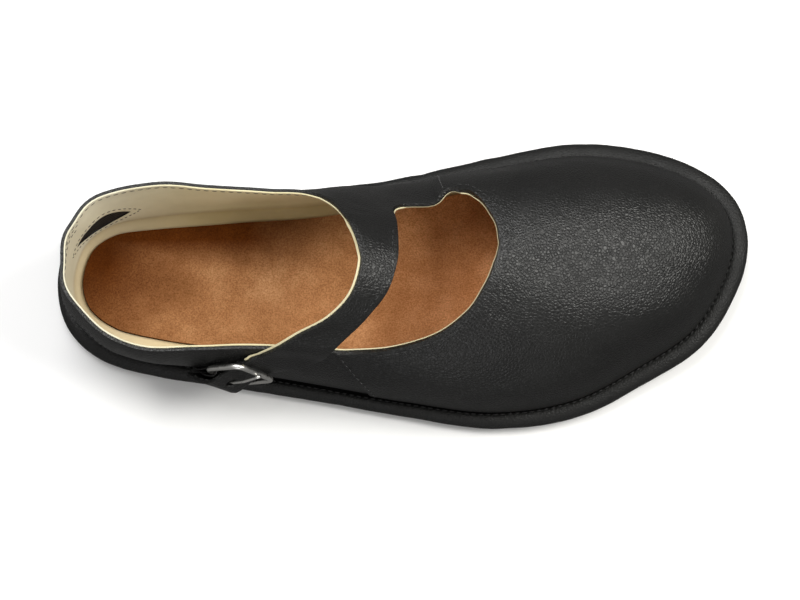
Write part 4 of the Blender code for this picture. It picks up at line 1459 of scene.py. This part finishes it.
CAMERA_TILT = math.radians(10.5)
CAMERA_DISTANCE = 1.0
CAMERA_ROLL = 0.0035
CAMERA_AIM = Vector((0, 0, 10.0 * MM))
SENSOR_WIDTH = 36
PIXELS_PER_METRE = 2133
CAMERA_ZOOM = 1.3
VIEW_WIDTH = 800
VIEW_SHIFT = (-1.8, -13.0)


def build_floor():
    bm = bmesh.new()
    bmesh.ops.create_grid(bm, x_segments=1, y_segments=1, size=3)
    made = mesh_object("floor", bm, [new_finish("pale_floor", (0.93, 0.93, 0.93), 0.9)])
    made.visible_glossy = False


def lamp(name, place, aim, size, power, colour=(1, 1, 1)):
    light = bpy.data.lights.new(name, "AREA")
    light.shape = "DISK"
    light.size = size
    light.energy = power
    light.color = colour
    made = bpy.data.objects.new(name, light)
    made.location = place
    made.rotation_mode = "QUATERNION"
    made.rotation_quaternion = (Vector(aim) - Vector(place)).to_track_quat("-Z", "Y")
    bpy.context.scene.collection.objects.link(made)


def build_lights():
    world = bpy.data.worlds.new("studio")
    world.use_nodes = True
    sky = world.node_tree.nodes["Background"]
    sky.inputs["Color"].default_value = (1.0, 0.99, 0.97, 1)
    direction = add(world, "ShaderNodeTexCoord")
    height = add(world, "ShaderNodeSeparateXYZ")
    join(world, direction.outputs["Generated"], height.inputs["Vector"])
    join(world, ranged(world, height.outputs["Z"], 0.0, 1.0, 0.17, 0.50), sky.inputs["Strength"])
    bpy.context.scene.world = world
    lamp("key", (0.77, 0.13, 1.03), (0.04, 0.0, 0.03), 0.66, 13.0, (1.0, 0.99, 0.94))
    lamp("fill", (-0.36, 0.56, 1.15), (-0.05, 0.0, 0.0), 1.0, 14)
    lamp("front", (-0.15, -1.25, 0.50), (0.0, 0.0, 0.02), 0.8, 3.2)
    bpy.context.scene.view_settings.view_transform = "Standard"


def build_camera():
    back = Vector((0, -math.sin(CAMERA_TILT), math.cos(CAMERA_TILT)))
    top = Vector((0, math.cos(CAMERA_TILT), math.sin(CAMERA_TILT)))
    side = Vector((1, 0, 0))
    right = side * math.cos(CAMERA_ROLL) - top * math.sin(CAMERA_ROLL)
    up = top * math.cos(CAMERA_ROLL) + side * math.sin(CAMERA_ROLL)
    data = bpy.data.cameras.new("camera")
    made = bpy.data.objects.new("camera", data)
    turn = Matrix((right, up, back)).transposed().to_4x4()
    turn.translation = CAMERA_AIM + back * CAMERA_DISTANCE
    made.matrix_world = turn
    data.sensor_width = SENSOR_WIDTH
    data.lens = PIXELS_PER_METRE * CAMERA_ZOOM * CAMERA_DISTANCE / VIEW_WIDTH * SENSOR_WIDTH
    data.shift_x, data.shift_y = (pixels * CAMERA_ZOOM / VIEW_WIDTH for pixels in VIEW_SHIFT)
    bpy.context.scene.collection.objects.link(made)
    bpy.context.scene.camera = made


def main():
    leather, lining = build_upper()
    for side, window in WINDOWS.items():
        build_elastic(side, window)
    rim = build_midsole()
    build_insole()
    build_tread()
    stitch_upper(leather, lining)
    stitch_rim(rim)
    build_hoop()
    build_prong()
    build_tab()
    build_floor()
    build_lights()
    build_camera()


main()
